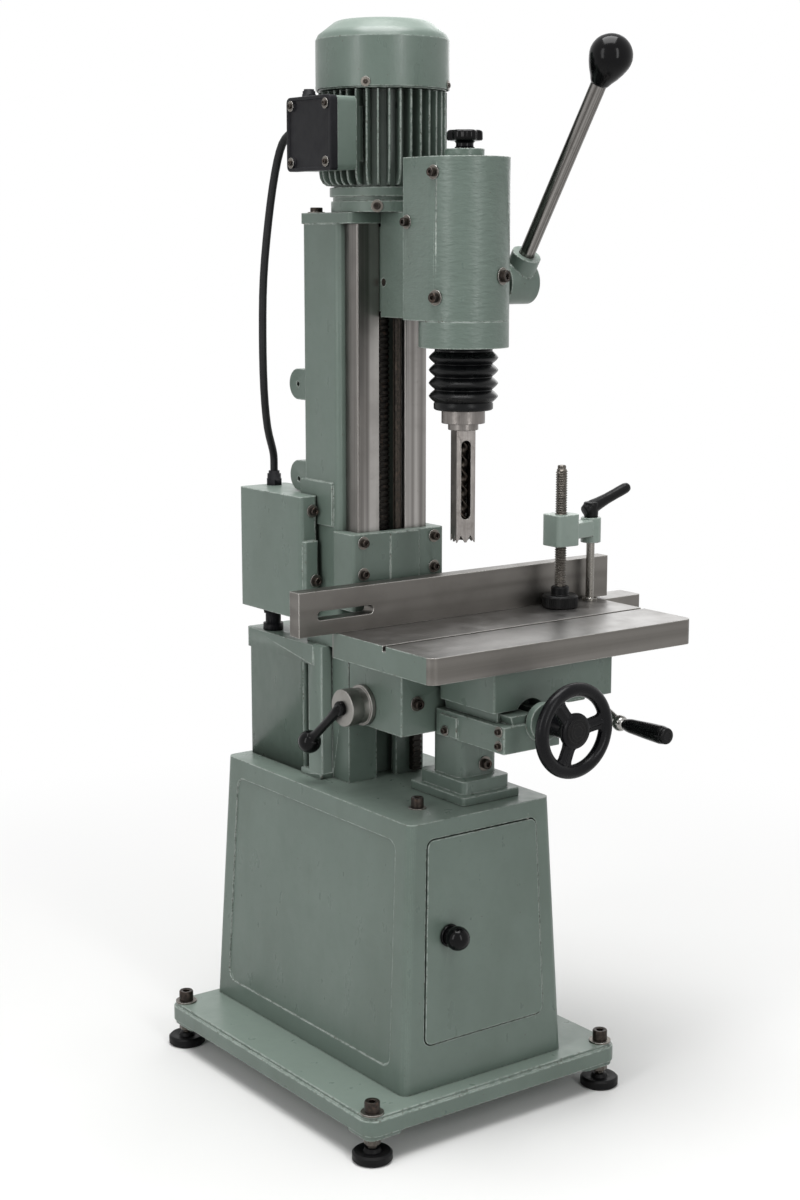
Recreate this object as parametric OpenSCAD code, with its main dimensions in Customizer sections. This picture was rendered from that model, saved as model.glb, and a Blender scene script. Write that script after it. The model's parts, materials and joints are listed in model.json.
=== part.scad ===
// Floor-standing hollow-chisel mortiser. Millimetres, +Z up, the operator stands at -Y.
// The origin is on the floor, midway between the four levelling feet.

/* [Feet and base] */
// Sideways distance of each foot from the middle
foot_x = 230; // [215:1:235]
// Front-to-back distance of each foot from the middle
foot_y = 276; // [268:1:282]
// Diameter of a rubber foot pad
pad_d = 62; // [50:1:75]
// Height of a rubber foot pad
pad_h = 16; // [12:1:20]
// Diameter of a levelling stud
stud_d = 14; // [10:1:16]
// Height of the base plate's underside over the floor
base_z = 37; // [34:1:45]
// Thickness of the base plate
base_t = 38; // [32:1:44]
// Width of the base plate
base_w = 504; // [496:2:520]
// Depth of the base plate
base_d = 596; // [590:2:610]

/* [Cabinet] */
// Height of the cabinet walls
cab_h = 425; // [415:1:435]
// Width of the cabinet at the floor plate
cab_w = 322; // [316:2:330]
// Depth of the cabinet at the floor plate
cab_d = 552; // [546:2:560]
// How far each side leans in over the height
cab_lean_x = 22; // [16:1:24]
// How far the front and the back lean in over the height
cab_lean_y = 13; // [10:1:16]
// Thickness of the cabinet walls
cab_wall = 8; // [7:0.5:9]
// Thickness of the cabinet top
cab_top_t = 10; // [8:1:12]
// Width of the door at its lower edge
door_w = 236; // [226:2:240]
// How far each upright edge of the door leans in
door_lean = 11; // [8:1:13]
// Height of the door
door_h = 323; // [300:1:326]
// Height of the door's lower edge over the base plate
door_up = 73; // [60:1:76]
// Thickness of the door
door_t = 10; // [9.5:0.25:11]
// Diameter of the door's ball knob
door_knob_d = 38; // [32:1:42]

/* [Column] */
// Half width of the column
col_x = 82; // [80:1:84]
// Depth of the column
col_d = 100; // [94:1:106]
// Height of the pedestal under the column
ped_h = 221; // [218:1:225]
// Length of the column
col_h = 691; // [680:1:700]
// Width of one guide rail
rail_w = 43; // [40:1:46]
// Thickness of one guide rail
rail_t = 33; // [31:1:34]
// Clear width between the two rails
rail_gap = 50; // [49:0.5:52]
// Width of the feed rack
rack_w = 18; // [16:1:19]
// Thickness of the feed rack
rack_t = 12; // [10:1:13]
// Height of the clamp block that holds the rails
block_h = 123; // [115:1:128]

/* [Motor] */
// Diameter over the motor's fins
motor_d = 200; // [192:2:206]
// Length of the finned frame
frame_h = 160; // [150:2:170]
// Number of cooling fins
fin_count = 36; // [30:1:40]
// Diameter of the fan cover
cover_d = 208; // [200:1:210]
// Height of the fan cover
cover_h = 91; // [84:1:96]
// Diameter of the motor shaft
motor_shaft_d = 28; // [22:1:30]

/* [Head] */
// Radius of the head's round front
head_r = 68; // [66:1:70]
// Height of the head casting
head_h = 239; // [234:1:244]
// Height of the nose ring
nose_h = 40; // [36:1:42]
// Distance from the head's axis back to its rear face
head_back = 62; // [60:1:64]
// Outer diameter of the rubber bellows
bellows_d = 105; // [98:1:112]
// Number of folds in the bellows
bellows_folds = 4; // [3:1:6]
// Width of the square chisel
chisel_w = 30; // [25:5:30]
// Length of the chisel below its holder
chisel_l = 171; // [155:1:176]
// Diameter of the spindle
spindle_d = 26; // [24:1:28]

/* [Feed lever] */
// Length of the lever from its hub to the middle of its knob
lever_l = 386; // [340:2:400]
// Lean of the lever towards the operator
lever_lean = 33; // [25:1:40]
// Diameter of the lever rod
lever_d = 24; // [18:1:26]
// Diameter of the lever's black knob
lever_knob_d = 64; // [56:1:70]

/* [Table] */
// Length of the table
table_w = 530; // [510:5:560]
// Depth of the table
table_d = 263; // [258:1:268]
// Thickness of the table
table_t = 41; // [38:1:44]
// Height of the table surface over the floor
table_z = 770; // [766:1:774]
// Length of the fence
fence_l = 633; // [600:5:650]
// Height of the fence
fence_h = 70; // [60:1:80]
// Thickness of the fence
fence_t = 26; // [22:1:26]
// Width of the groove along the table
groove_w = 8; // [6:1:12]
// Diameter of the handwheel
wheel_d = 148; // [130:2:150]
// Diameter of the cross feed screw
cross_screw_d = 16; // [14:1:17]

/* [Hold-down] */
// Diameter of the clamp's post
post_d = 14; // [12:1:16]
// Diameter of the clamping screw
screw_d = 20; // [16:1:22]
// Length of the clamping screw
screw_l = 196; // [180:2:210]
// Diameter of the clamping pad
hold_pad_d = 60; // [44:1:62]

/* [Hidden] */
$fn = 64;
fit = 0.3;      // clearance between neighbouring pieces
slip = 0.05;    // radial clearance of a shaft in its bore
green = "#66766C";
steel = "#8A8682";
black = "#1E1E20";
dark = "#3A3633";

base_top = base_z + base_t;
cab_top = base_top + cab_h;
cab_y = 14;                          // middle of the cabinet, front to back
cab_r = 14;                          // radius of the cabinet's upright corners
front_y = cab_y - cab_d / 2;         // front wall at the base plate
front_tilt = atan(cab_lean_y / cab_h);
side_tilt = atan(cab_lean_x / cab_h);
cab_bolt = [-70, -175, cab_top];
door_gap = 2;
door_proud = 2;                      // how far the door's face stands out of the wall
hinge_in = 14;                       // hinge axis, in from the door's right edge
hinge_back = door_t / 2 + 0.5;       // hinge axis, behind the door's face
pin_d = 5;
edge_tilt = atan(door_lean / door_h);
latch_x = -door_w / 2 + 48;
latch_y = door_h / 2 + 7;

cap_d = 13;                          // heads of the cap screws
cap_h = 8;
cap_shank = 8;
washer_d = 19;
washer_t = 1.5;

ped_x = 95;
ped_back = 272;
ped_front = 105;
ped_top = cab_top + ped_h;
guide_front = 3;                     // front face of the pedestal's guide
guide_x = 75;
col_y = 18;                          // front face of the column
col_top = ped_top + col_h;
cap_t = 17;                          // plate on top of the column
rail_z = ped_top + 79;
rail_top = col_top - cap_t;
rail_front = col_y - rail_t;
rail_x = rail_gap / 2;
rack_front = col_y - rack_t;
way_cut = 6;                         // groove in each rail's inner face
block_z = rail_z - 10;
block_x = col_x + 8;
block_y = rail_front - 17;
block_back = col_y + 9;

motor_y = 11;
bell_z = col_top;
bell_h = 38;
frame_z = bell_z + bell_h;
cover_z = frame_z + frame_h;
core_r = motor_d / 2 - 23;

spin_y = -196;
head_z = rail_top - 144;
head_top = head_z + head_h;
head_rear = spin_y + head_back;
nose_z = head_z - nose_h;
boss_d = 59;
boss_h = 12;
holder_z = nose_z - 94;              // underside of the bellows
bellows_h = nose_z - holder_z;
tip_z = holder_z - 30 - chisel_l;
chisel_turn = -20;                   // how far the chisel stands turned in its holder

feed_y = -165;
feed_z = head_z + 54;
feed_shaft_d = 20;
feed_gear_r = 40;
idler_r = 30;
idler_y = feed_y + feed_gear_r + idler_r;
pinion_r = 30;
pinion_y = rack_front - 0.5 - pinion_r;
idler_big_r = pinion_y - idler_y - pinion_r;
lever_x = 124;                       // plane in which the lever swings
gear_x = 20;                         // side face of the feed gear

drive_x = 16.5;                      // upright drive shaft between the rails
drive_y = -4;
drive_d = 13;

post_x = 47;
post_y = -145;
sleeve_w = 76;
post_w = 60;
plinth_w = 114;
plinth_d = 140;
plinth_h = 35;
knee_z = 606;
knee_h = 99;
knee_x = 75;
knee_front = -140;
lug_x = [196, 234];
lug_y = -205;
lug_z = 655;
rail_y = -205;                       // middle of the table's dovetail
knee_back = guide_front - fit;
way_x0 = -8;
way_w = 112;
way_front = -310;
way_z = 603;
way_h = 42;
tail_h = 14;
screw_x = 65;
screw_z = 646;
sad_w = lug_x[1] - way_x0;
sad_front = -285;
sad_back = -150;
table_x = 116;                       // middle of the table
table_travel = 120;                  // to each side
table_y = -313;                      // front edge of the table
table_bot = table_z - table_t;
sad_top = table_bot - fit;
sad_bot = way_z + way_h + fit;
sad_floor = way_z + way_h + tail_h + 3;
fence_y = -74;                       // face of the fence
groove_y = spin_y - groove_w / 2;
lift_y = -40;
lift_z = 640;
lift_r = 30;
lift_x = 55;                         // middle of the lift gear and its rack
lift_w = 16;
pinion_teeth = 20;                   // on the feed pinion and on the lift gear
idler_big_teeth = 27;
idler_teeth = 21;
feed_teeth = 28;
rack_pitch = 2 * PI * pinion_r / pinion_teeth;
tee_x = 20;
tee_w = 36;
tee_d = 30;

hold_x = table_x + table_w / 2 - 105;
hold_y = -108;
stand_x = table_x + table_w / 2 - 23;
stand_y = -90;
arm_z = table_z + 100;
arm_h = 52;

// ---- shared shapes ----

// A rounded rectangle, centred, from squares and circles.
module round_rect(w, d, r) {
  square([w - 2 * r, d], center = true);
  square([w, d - 2 * r], center = true);
  for (x = [-1, 1], y = [-1, 1])
    translate([x * (w / 2 - r), y * (d / 2 - r)])
      circle(r);
}

// A rounded slab between two corners, upright corners only.
module slab(x0, y0, z0, x1, y1, z1, r = 4) {
  translate([(x0 + x1) / 2, (y0 + y1) / 2, z0])
    linear_extrude(z1 - z0)
      round_rect(x1 - x0, y1 - y0, r);
}

module block(x0, y0, z0, x1, y1, z1) {
  translate([x0, y0, z0])
    cube([x1 - x0, y1 - y0, z1 - z0]);
}

module rod_z(x, y, z0, z1, d) {
  translate([x, y, z0])
    cylinder(d = d, h = z1 - z0);
}

module rod_x(x0, x1, y, z, d) {
  translate([x0, y, z])
    rotate([0, 90, 0])
      cylinder(d = d, h = x1 - x0);
}

module rod_y(x, y0, y1, z, d) {
  translate([x, y0, z])
    rotate([-90, 0, 0])
      cylinder(d = d, h = y1 - y0);
}

module ring_z(x, y, z0, z1, d, bore) {
  difference() {
    rod_z(x, y, z0, z1, d);
    rod_z(x, y, z0 - 1, z1 + 1, bore);
  }
}

// A toothed wheel on +Z; its teeth stop just short of the mating part.
module gear(r, h, bore, teeth) {
  difference() {
    cylinder(r = r, h = h);
    for (i = [0:teeth - 1])
      rotate(i * 360 / teeth)
        translate([r, 0, h / 2])
          cube([6, PI * r / teeth, h + 2], center = true);
    translate([0, 0, -1])
      cylinder(d = bore, h = h + 2);
  }
}

// A cap screw on its washer; its head points to +Z and its shank to -Z.
module cap_screw(d = cap_d, h = cap_h, shank = cap_shank) {
  difference() {
    union() {
      cylinder(d = d + washer_d - cap_d, h = washer_t);
      cylinder(d = d, h = washer_t + h);
      translate([0, 0, -14])
        cylinder(d = shank, h = 15);
    }
    translate([0, 0, washer_t + h / 2])
      cylinder(d = d * 0.55, h = h, $fn = 6);
  }
}

module screw_hole(shank = cap_shank) {
  translate([0, 0, -14.2])
    cylinder(d = shank + 2 * slip, h = 15);
}

module facing_front() { rotate([90, 0, 0]) children(); }
module facing_left() { rotate([0, -90, 0]) children(); }

// ---- base and feet ----

module at_feet() {
  for (x = [-1, 1], y = [-1, 1])
    translate([x * foot_x, y * foot_y, 0])
      children();
}

module base_plate() {
  step = 5;
  color(green)
    difference() {
      union() {
        slab(-base_w / 2, -base_d / 2, base_z + 8, base_w / 2, base_d / 2, base_top - step, 24);
        slab(step - base_w / 2, step - base_d / 2, base_z + 9,
          base_w / 2 - step, base_d / 2 - step, base_top, 20);
        for (x = [-1, 1], y = [-1, 1])
          translate([x * (base_w / 2 - 38), y * (base_d / 2 - 38), base_z])
            linear_extrude(10)
              round_rect(66, 66, 14);
      }
      at_feet()
        rod_z(0, 0, base_z - 1, base_top + 1, stud_d + 2 * slip);
    }
}

module levelling_stud() {
  difference() {
    union() {
      rod_z(0, 0, 5, base_top + 1, stud_d);
      rod_z(0, 0, base_top, base_top + 3, 36);
      rod_z(0, 0, base_top, base_top + 20, 24);
      translate([0, 0, base_z - 11])
        cylinder(d = 26, h = 11, $fn = 6);
    }
    translate([0, 0, base_top + 9])
      cylinder(d = 12, h = 12, $fn = 6);
  }
}

module foot_pads() {
  rim = 3;
  color(black)
    at_feet()
      difference() {
        rotate_extrude()
          polygon([[0, 0], [pad_d / 2 - rim, 0], [pad_d / 2, rim], [pad_d / 2, pad_h - rim],
            [pad_d / 2 - rim, pad_h], [stud_d / 2 + 6, pad_h], [stud_d / 2 + 4, pad_h + 5],
            [0, pad_h + 5]]);
        rod_z(0, 0, 4.9, pad_h + 6, stud_d + 2 * slip);
      }
}

// ---- cabinet ----

// The cabinet's tapered block, set in by a wall.
module cabinet_block(inset, lift, drop) {
  part = 0.5;
  r = max(cab_r - inset, 6);
  hull() {
    translate([0, cab_y, base_top + lift])
      linear_extrude(part)
        round_rect(cab_w - 2 * inset, cab_d - 2 * inset, r, $fn = 32);
    translate([0, cab_y, cab_top - drop - part])
      linear_extrude(part)
        round_rect(cab_w - 2 * (inset + cab_lean_x), cab_d - 2 * (inset + cab_lean_y), r,
          $fn = 32);
  }
}

// Local frames on the leaning walls: X across, Y up the wall, Z outwards.
module on_front() {
  translate([0, front_y, base_top])
    rotate([90 - front_tilt, 0, 0])
      children();
}

module on_side(side) {
  translate([side * cab_w / 2, cab_y, base_top])
    rotate([0, -side * side_tilt, 0])
      rotate([90, 0, side * 90])
        children();
}

// The door's outline, its corners rounded, grown all round by a gap.
module door_shape(grow) {
  r = 12;
  low = door_w / 2 - r;
  high = low - door_lean;
  translate([0, door_up])
    offset(r = r + grow)
      polygon([[-low, r], [low, r], [high, door_h - r], [-high, door_h - r]]);
}

// Upright line of the door's hinge: X along the door, Y up the hinge.
module on_hinge() {
  on_front()
    translate([door_w / 2 - hinge_in, door_up, door_proud - hinge_back])
      rotate(edge_tilt)
        children();
}

module hinge_pin(grow) {
  for (y = [-9, door_h - 8])
    translate([0, y, 0])
      rotate([-90, 0, 0])
        cylinder(d = pin_d + grow, h = 17);
}

module side_panel() {
  r = 18;
  low = cab_d / 2 - 40;
  translate([0, 34])
    offset(r = r)
      polygon([[-low + r, r], [low - r, r], [low - r - 8, 360 - r], [-low + r + 8, 360 - r]]);
}

module cabinet_shell() {
  color(green)
    difference() {
      cabinet_block(0, 0, 0);
      cabinet_block(cab_wall, -1, cab_top_t);
      on_front()
        translate([0, 0, -cab_wall - 6])
          linear_extrude(20)
            door_shape(door_gap);
      on_hinge()
        hinge_pin(2 * slip);
      for (side = [-1, 1])
        on_side(side)
          translate([0, 0, -2])
            linear_extrude(6)
              side_panel();
      slab(post_x - post_w / 2 - fit, post_y - post_w / 2 - fit, cab_top - 30,
        post_x + post_w / 2 + fit, post_y + post_w / 2 + fit, cab_top + 1, 8);
      translate(cab_bolt)
        screw_hole(12);
    }
}

module cabinet_door() {
  color(green)
    difference() {
      union() {
        on_front()
          translate([0, 0, door_proud - door_t])
            linear_extrude(door_t)
              door_shape(0);
        on_front()
          translate([latch_x, door_up + latch_y, door_proud])
            cylinder(d = 26, h = 1.5);
      }
      on_front()
        translate([0, 0, door_proud - door_t - 2])
          linear_extrude(6)
            offset(delta = -16)
              door_shape(0);
      on_hinge()
        hinge_pin(2 * slip);
      on_front()
        translate([latch_x, door_up + latch_y, -30])
          cylinder(d = 10 + 2 * slip, h = 50);
    }
}

module door_latch() {
  ball = door_knob_d / 2;
  color(black)
    on_front()
      translate([latch_x, door_up + latch_y, door_proud + 1.5 + fit]) {
        translate([0, 0, ball + 1])
          sphere(ball);
        cylinder(d1 = 36, d2 = 34, h = 4);
        translate([0, 0, -19])
          cylinder(d = 10, h = 20);
        translate([-9, -8, -19])
          cube([18, 66, 4]);
      }
}

// ---- pedestal and column ----

module pedestal() {
  wall = 14;
  foot = 50;
  lip = 3;
  color(green)
    difference() {
      union() {
        slab(-ped_x, ped_front, cab_top, ped_x, ped_back, ped_top, 8);
        slab(-ped_x - lip, ped_front - 40, ped_top - 33, ped_x + lip, ped_back + lip, ped_top, 8);
        block(-guide_x, guide_front, cab_top, guide_x, ped_front + 10, ped_top);
        for (x = [-1, 1]) {
          translate([x * (ped_x - 9), 69, cab_top])
            linear_extrude(ped_top - cab_top)
              round_rect(22, 40, 3);
          translate([x * (ped_x - 10), 78, cab_top])
            linear_extrude(9)
              round_rect(30, foot + 10, 3);
        }
      }
      slab(-ped_x + wall, ped_front + wall, cab_top - 1, ped_x - wall, ped_back - wall,
        ped_top - wall, 6);
      block(-guide_x + wall, guide_front + tee_d + 24, cab_top - 1, guide_x - wall,
        ped_front + wall + 1, ped_top - wall);
      block(-tee_x, guide_front - 1, cab_top - 1, tee_x, guide_front + tee_d, ped_top + 1);
      block(-tee_w, guide_front + 14, cab_top - 1, tee_w, guide_front + tee_d, ped_top + 1);
      foundation_places()
        screw_hole(12);
    }
}

// Dowels that locate the column on its pedestal.
module foundation_places() {
  for (x = [-1, 1], y = [0, 1])
    translate([x * (col_x - 26), col_y + 26 + y * (col_d - 52), ped_top])
      children();
}

module column() {
  wall = 12;
  boss_z = [ctl_z1 + 26, ped_top + 419];
  color(green)
    difference() {
      union() {
        slab(-col_x, col_y, ped_top, col_x, col_y + col_d, col_top - 1, 9);
        slab(-col_x - 2, rail_front - 2, rail_top, col_x + 2, col_y + col_d + 2, col_top, 7);
        block(-col_x - 4, col_y + 14, ped_top + block_h + 75, col_x + 4, col_y + col_d + 4,
          ped_top + block_h + 145);
        for (z = boss_z) {
          rod_x(-col_x + 6, -col_x + 44, col_y + col_d + 24, z, 50);
          block(-col_x + 6, col_y + col_d - 10, z - 25, -col_x + 44, col_y + col_d + 24, z + 25);
        }
      }
      slab(-col_x + wall, col_y + wall, ped_top - 1, col_x - wall, col_y + col_d - wall,
        rail_top - 4, 5);
      rod_z(0, motor_y, rail_top - 1, col_top + 1, motor_shaft_d + 14);
      rod_z(drive_x, drive_y, rail_top - 1, col_top + 1, drive_d + 10);
      foundation_places()
        rod_z(0, 0, -1, 13, 12 + 2 * slip);
      column_screw_places()
        screw_hole();
    }
}

module at_rails() {
  for (side = [-1, 1])
    translate([side * (rail_x + rail_w / 2), 0, 0])
      mirror([side < 0 ? 0 : 1, 0, 0])
        children();
}

module guide_rails() {
  r = 3;
  color(steel)
    at_rails()
      difference() {
        translate([0, col_y - rail_t / 2, rail_z])
          linear_extrude(rail_top - rail_z)
            union() {
              translate([0, -rail_t / 2 + rail_t / 4 + r / 2])
                round_rect(rail_w, rail_t / 2 + r, r);
              translate([0, r / 2])
                square([rail_w, rail_t - r], center = true);
            }
        block(rail_w / 2 - way_cut, col_y - 24, rail_z - 1, rail_w / 2 + 1, col_y - 15,
          rail_top + 1);
      }
}

// A toothed bar along +Z, its teeth on the -Y side.
module rack(x, w, y0, y1, z0, z1) {
  difference() {
    block(x - w / 2, y0, z0, x + w / 2, y1, z1);
    for (i = [0:floor((z1 - z0) / rack_pitch) - 1])
      translate([x - w, y0 - 1, z0 + (i + 0.25) * rack_pitch])
        cube([2 * w, 4, rack_pitch / 2]);
  }
}

// The head's rack on the column and the knee's rack on the pedestal.
module feed_rack() {
  color(dark) {
    rack(0, rack_w, rack_front, col_y, rail_z + 10, rail_top);
    rack(lift_x, lift_w, lift_y + lift_r + fit, guide_front, cab_top + 5, ped_top - 6);
  }
}

module block_screw_places() {
  for (x = [-1, 1], z = [0, 50])
    translate([x * (block_x - 20), block_y, ped_top + block_h + 5 + z])
      facing_front()
        children();
}

module rail_clamp_block() {
  top = rail_z - 10 + block_h;
  color(green)
    difference() {
      union() {
        slab(-block_x, block_y, block_z, block_x, block_back, top, 6);
        slab(-18, block_y - 2, block_z + 4, 40, block_y + 20, top - 2, 2);
      }
      for (side = [-1, 1])
        block(side * (rail_x + rail_w / 2) - rail_w / 2 - slip, rail_front - slip, rail_z,
          side * (rail_x + rail_w / 2) + rail_w / 2 + slip, col_y + 10, top + 1);
      block(-rail_x - 1, rail_front - slip, rail_z, rail_x + 1, col_y + 10, top + 1);
      slab(-col_x - slip, col_y - slip, block_z - 1, col_x + slip, col_y + col_d, top + 1, 9);
      block_screw_places()
        screw_hole();
      rod_z(drive_x, drive_y, rail_z - 3, rail_z + 1, drive_d + 2 * slip);
    }
}

module column_screw_places() {
  translate([-col_x + 14, col_y + col_d - 22, col_top])
    children();
  for (z = [264, 419])
    translate([-col_x + 6, col_y + col_d + 24, ped_top + z])
      facing_left()
        children();
}

// ---- control box and wiring ----

ctl_x0 = -120;
ctl_y0 = 72;
ctl_y1 = 256;
ctl_z0 = 765;
ctl_z1 = 965;
ctl_side = -col_x - 4.3;
ctl_rear = -28;

module control_outline(inset) {
  back = col_y + col_d + 4.3;
  union() {
    translate([(ctl_x0 + ctl_side) / 2, (ctl_y0 + ctl_y1) / 2])
      round_rect(ctl_side - ctl_x0 - 2 * inset, ctl_y1 - ctl_y0 - 2 * inset, 7 - inset / 2);
    translate([(ctl_x0 + ctl_rear) / 2, (back + ctl_y1) / 2])
      round_rect(ctl_rear - ctl_x0 - 2 * inset, ctl_y1 - back - 2 * inset, 7 - inset / 2);
  }
}

module box_screw_places() {
  for (p = [[-97, ctl_y0, 941], [-96, ctl_y0 - 7, 828]])
    translate(p)
      facing_front()
        children();
}

gland_low = [-76, 224];
gland_top = [-62, 238];

module control_box() {
  wall = 4;
  color(green)
    difference() {
      union() {
        translate([0, 0, ctl_z0])
          linear_extrude(ctl_z1 - ctl_z0)
            control_outline(0);
        slab(-116, ctl_y0 - 7, ctl_z0 + 48, ctl_side - 3, ctl_y0 + 12, ctl_z0 + 128, 4);
      }
      translate([0, 0, ctl_z0 + wall])
        linear_extrude(ctl_z1 - ctl_z0 - 2 * wall)
          difference() {
            control_outline(wall);
            translate([-116, ctl_y0])
              square([40, 22]);
          }
      rod_z(gland_low[0], gland_low[1], ctl_z0 - 1, ctl_z0 + wall + 1, 20);
      rod_z(gland_top[0], gland_top[1], ctl_z1 - wall - 1, ctl_z1 + 1, 14);
      box_screw_places()
        screw_hole();
    }
}

term_x0 = -128;
term_y0 = -50;
term_y1 = 68;
term_z0 = frame_z + 24;
term_z1 = frame_z + 133;
term_lid_t = 13;
cable_d = 13;
cable_z = term_z0 + 62;
cable_x = -106;

// A gland on +Z: hexagon, dome and a bore that passes the cable.
module gland(d, h, bore) {
  difference() {
    union() {
      cylinder(d = d, h = h * 0.45, $fn = 6);
      cylinder(d = d * 0.82, h = h * 0.8);
      cylinder(d = d * 0.66, h = h);
    }
    translate([0, 0, -1])
      cylinder(d = bore, h = h + 2);
  }
}

module cable_glands() {
  color(black) {
    translate([gland_top[0], gland_top[1], ctl_z1])
      gland(28, 24, 5);
    translate([gland_low[0], gland_low[1], ped_top]) {
      cylinder(d = 34, h = 12);
      cylinder(d = 26, h = ctl_z0 - ped_top);
      cylinder(d = 20 - 2 * slip, h = ctl_z0 - ped_top + 3);
      translate([0, 0, ctl_z0 - ped_top - 14])
        cylinder(d = 36, h = 14, $fn = 6);
    }
    translate([cable_x, term_y1, cable_z])
      rotate([-90, 0, 0])
        gland(26, 20, 5);
    translate([term_x0 + 14, term_y1 - 22, term_z1])
      gland(24, 14, 5);
  }
}

// Route of the motor cable, from the terminal gland down to the control box.
// Each point is its X, its Y and its share of the way up between the two glands.
cable_low = ctl_z1 + 24;
cable_line = [[cable_x, term_y1 + 20, 1], [cable_x, 106, 1], [-107, 133, 0.969],
  [-109, 152, 0.888], [-111, 170, 0.751], [-112, 185, 0.587], [-110, 193, 0.422],
  [-103, 202, 0.258], [-85, 221, 0.139], [-66, 235, 0.064], [-62, 238, 0.033],
  [gland_top[0], gland_top[1], 0]];
cable_route = [for (p = cable_line) [p[0], p[1], cable_low + p[2] * (cable_z - cable_low)]];

function curve(p, i, t) =
  let(n = len(p) - 1, a = p[max(i - 1, 0)], b = p[i], c = p[i + 1], d = p[min(i + 2, n)])
  (i == 0 || i == n - 1) ? b * (1 - t) + c * t :
  0.5 * (2 * b + (c - a) * t + (2 * a - 5 * b + 4 * c - d) * t * t
    + (3 * b - a - 3 * c + d) * t * t * t);

function unit(v) = v / norm(v);

// A round tube through the points, its two ends cut square.
module tube(p, d, steps, sides) {
  count = (len(p) - 1) * steps;
  line = [for (k = [0:count]) let(i = min(floor(k / steps), len(p) - 2)) curve(p, i, k / steps - i)];
  rings = [for (k = [0:count])
    let(t = unit(line[min(k + 1, count)] - line[max(k - 1, 0)]),
      u = unit(cross(t, [1, 0, 0])), v = cross(t, u))
    for (s = [0:sides - 1])
      line[k] + d / 2 * (u * cos(s * 360 / sides) + v * sin(s * 360 / sides))];
  polyhedron(rings, concat(
    [[for (s = [0:sides - 1]) sides - 1 - s]],
    [for (k = [0:count - 1], s = [0:sides - 1])
      let(a = k * sides + s, b = k * sides + (s + 1) % sides)
      [a, b, b + sides, a + sides]],
    [[for (s = [0:sides - 1]) count * sides + s]]));
}

module motor_cable() {
  color(black)
    tube(cable_route, cable_d, 5, 10);
}

// ---- motor ----

motor_gear_r = 10;
drive_gear_r = 12;
motor_teeth = 10;
drive_teeth = 12;
splines = 6;
bearing_d = 62;
bearing_h = 16;

module motor_flange() {
  color(green)
    difference() {
      union() {
        rod_z(0, motor_y, bell_z, bell_z + 17, 162);
        rod_z(0, motor_y, bell_z + 17, bell_z + 24, 156);
        rod_z(0, motor_y, bell_z + 24, frame_z, 166);
      }
      rod_z(0, motor_y, bell_z - 1, bell_z + 14, 84);
      rod_z(0, motor_y, bell_z, frame_z + 1, motor_shaft_d + 12);
      rod_z(0, motor_y, frame_z - bearing_h, frame_z + 1, bearing_d);
      translate([0, motor_y, bell_z + 9])
        rotate(-42)
          translate([0, -81, 0])
            facing_front()
              screw_hole();
    }
}

module at_motor() {
  translate([0, motor_y, frame_z])
    children();
}

module motor_frame() {
  fin_t = 3.4;
  seat = 42;
  color(green)
    difference() {
      union() {
        at_motor() {
          cylinder(r = core_r, h = frame_h);
          for (i = [0:fin_count - 1])
            rotate(i * 360 / fin_count)
              translate([core_r - 3, -fin_t / 2, 3])
                cube([motor_d / 2 - core_r + 3, fin_t, frame_h - 15.5]);
          translate([0, 0, frame_h - 14])
            cylinder(d = cover_d - 5 - 2 * fit, h = 14);
        }
        block(term_x0 + 36, term_y0 + 14, term_z0 + 8, -60, term_y1 - 14, term_z1 - 8);
      }
      at_motor() {
        translate([0, 0, -1])
          cylinder(r = core_r - 10, h = frame_h - 11);
        translate([0, 0, frame_h - bearing_h - 2])
          cylinder(d = bearing_d, h = bearing_h + 3);
        cylinder(d = motor_shaft_d + 10, h = frame_h + 1);
      }
      block(term_x0 - 10, term_y0 - 1, term_z0 - 1, term_x0 + 36, term_y1 + 1, term_z1 + 1);
      rod_x(term_x0, -50, (term_y0 + term_y1) / 2, (term_z0 + term_z1) / 2, seat);
      cover_screw_places()
        screw_hole(5);
    }
}

module stator() {
  color("peru")
    at_motor()
      translate([0, 0, 24])
        difference() {
          cylinder(r = core_r - 10 - slip, h = 104);
          translate([0, 0, -1])
            cylinder(r = core_r - 32, h = 106);
        }
}

module rotor() {
  color(steel)
    at_motor()
      difference() {
        union() {
          translate([0, 0, -16])
            cylinder(d = motor_shaft_d, h = frame_h + 16 + 54);
          translate([0, 0, 30])
            cylinder(r = core_r - 33, h = 92);
          translate([0, 0, bell_z + 3 - frame_z])
            cylinder(d = 16, h = 30);
          translate([0, 0, bell_z + 3 - frame_z])
            gear(motor_gear_r, 8, 10, motor_teeth);
        }
        translate([0, 0, frame_h + 50])
          cylinder(d = 6, h = 10);
      }
}

module motor_bearings() {
  color(steel)
    for (z = [frame_z - bearing_h + 1, cover_z - bearing_h])
      ring_z(0, motor_y, z, z + bearing_h - 1.5, bearing_d - 2 * slip, motor_shaft_d + 2 * slip);
}

module cooling_fan() {
  blade_r = cover_d / 2 - 14;
  color(black)
    translate([0, motor_y, cover_z + 14])
      difference() {
        union() {
          cylinder(d = motor_shaft_d + 20, h = 34);
          cylinder(r = blade_r - 8, h = 3);
          for (i = [0:8])
            rotate(i * 40)
              translate([motor_shaft_d / 2 + 4, -1.5, 0])
                cube([blade_r - motor_shaft_d / 2 - 4, 3, 30]);
        }
        translate([0, 0, -1])
          cylinder(d = motor_shaft_d + 0.02, h = 40);
      }
}

module cover_screw_places() {
  for (a = [-50, 40, 130, 220])
    translate([0, motor_y, cover_z - 6])
      rotate(a)
        translate([0, -cover_d / 2, 0])
          facing_front()
            children();
}

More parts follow.
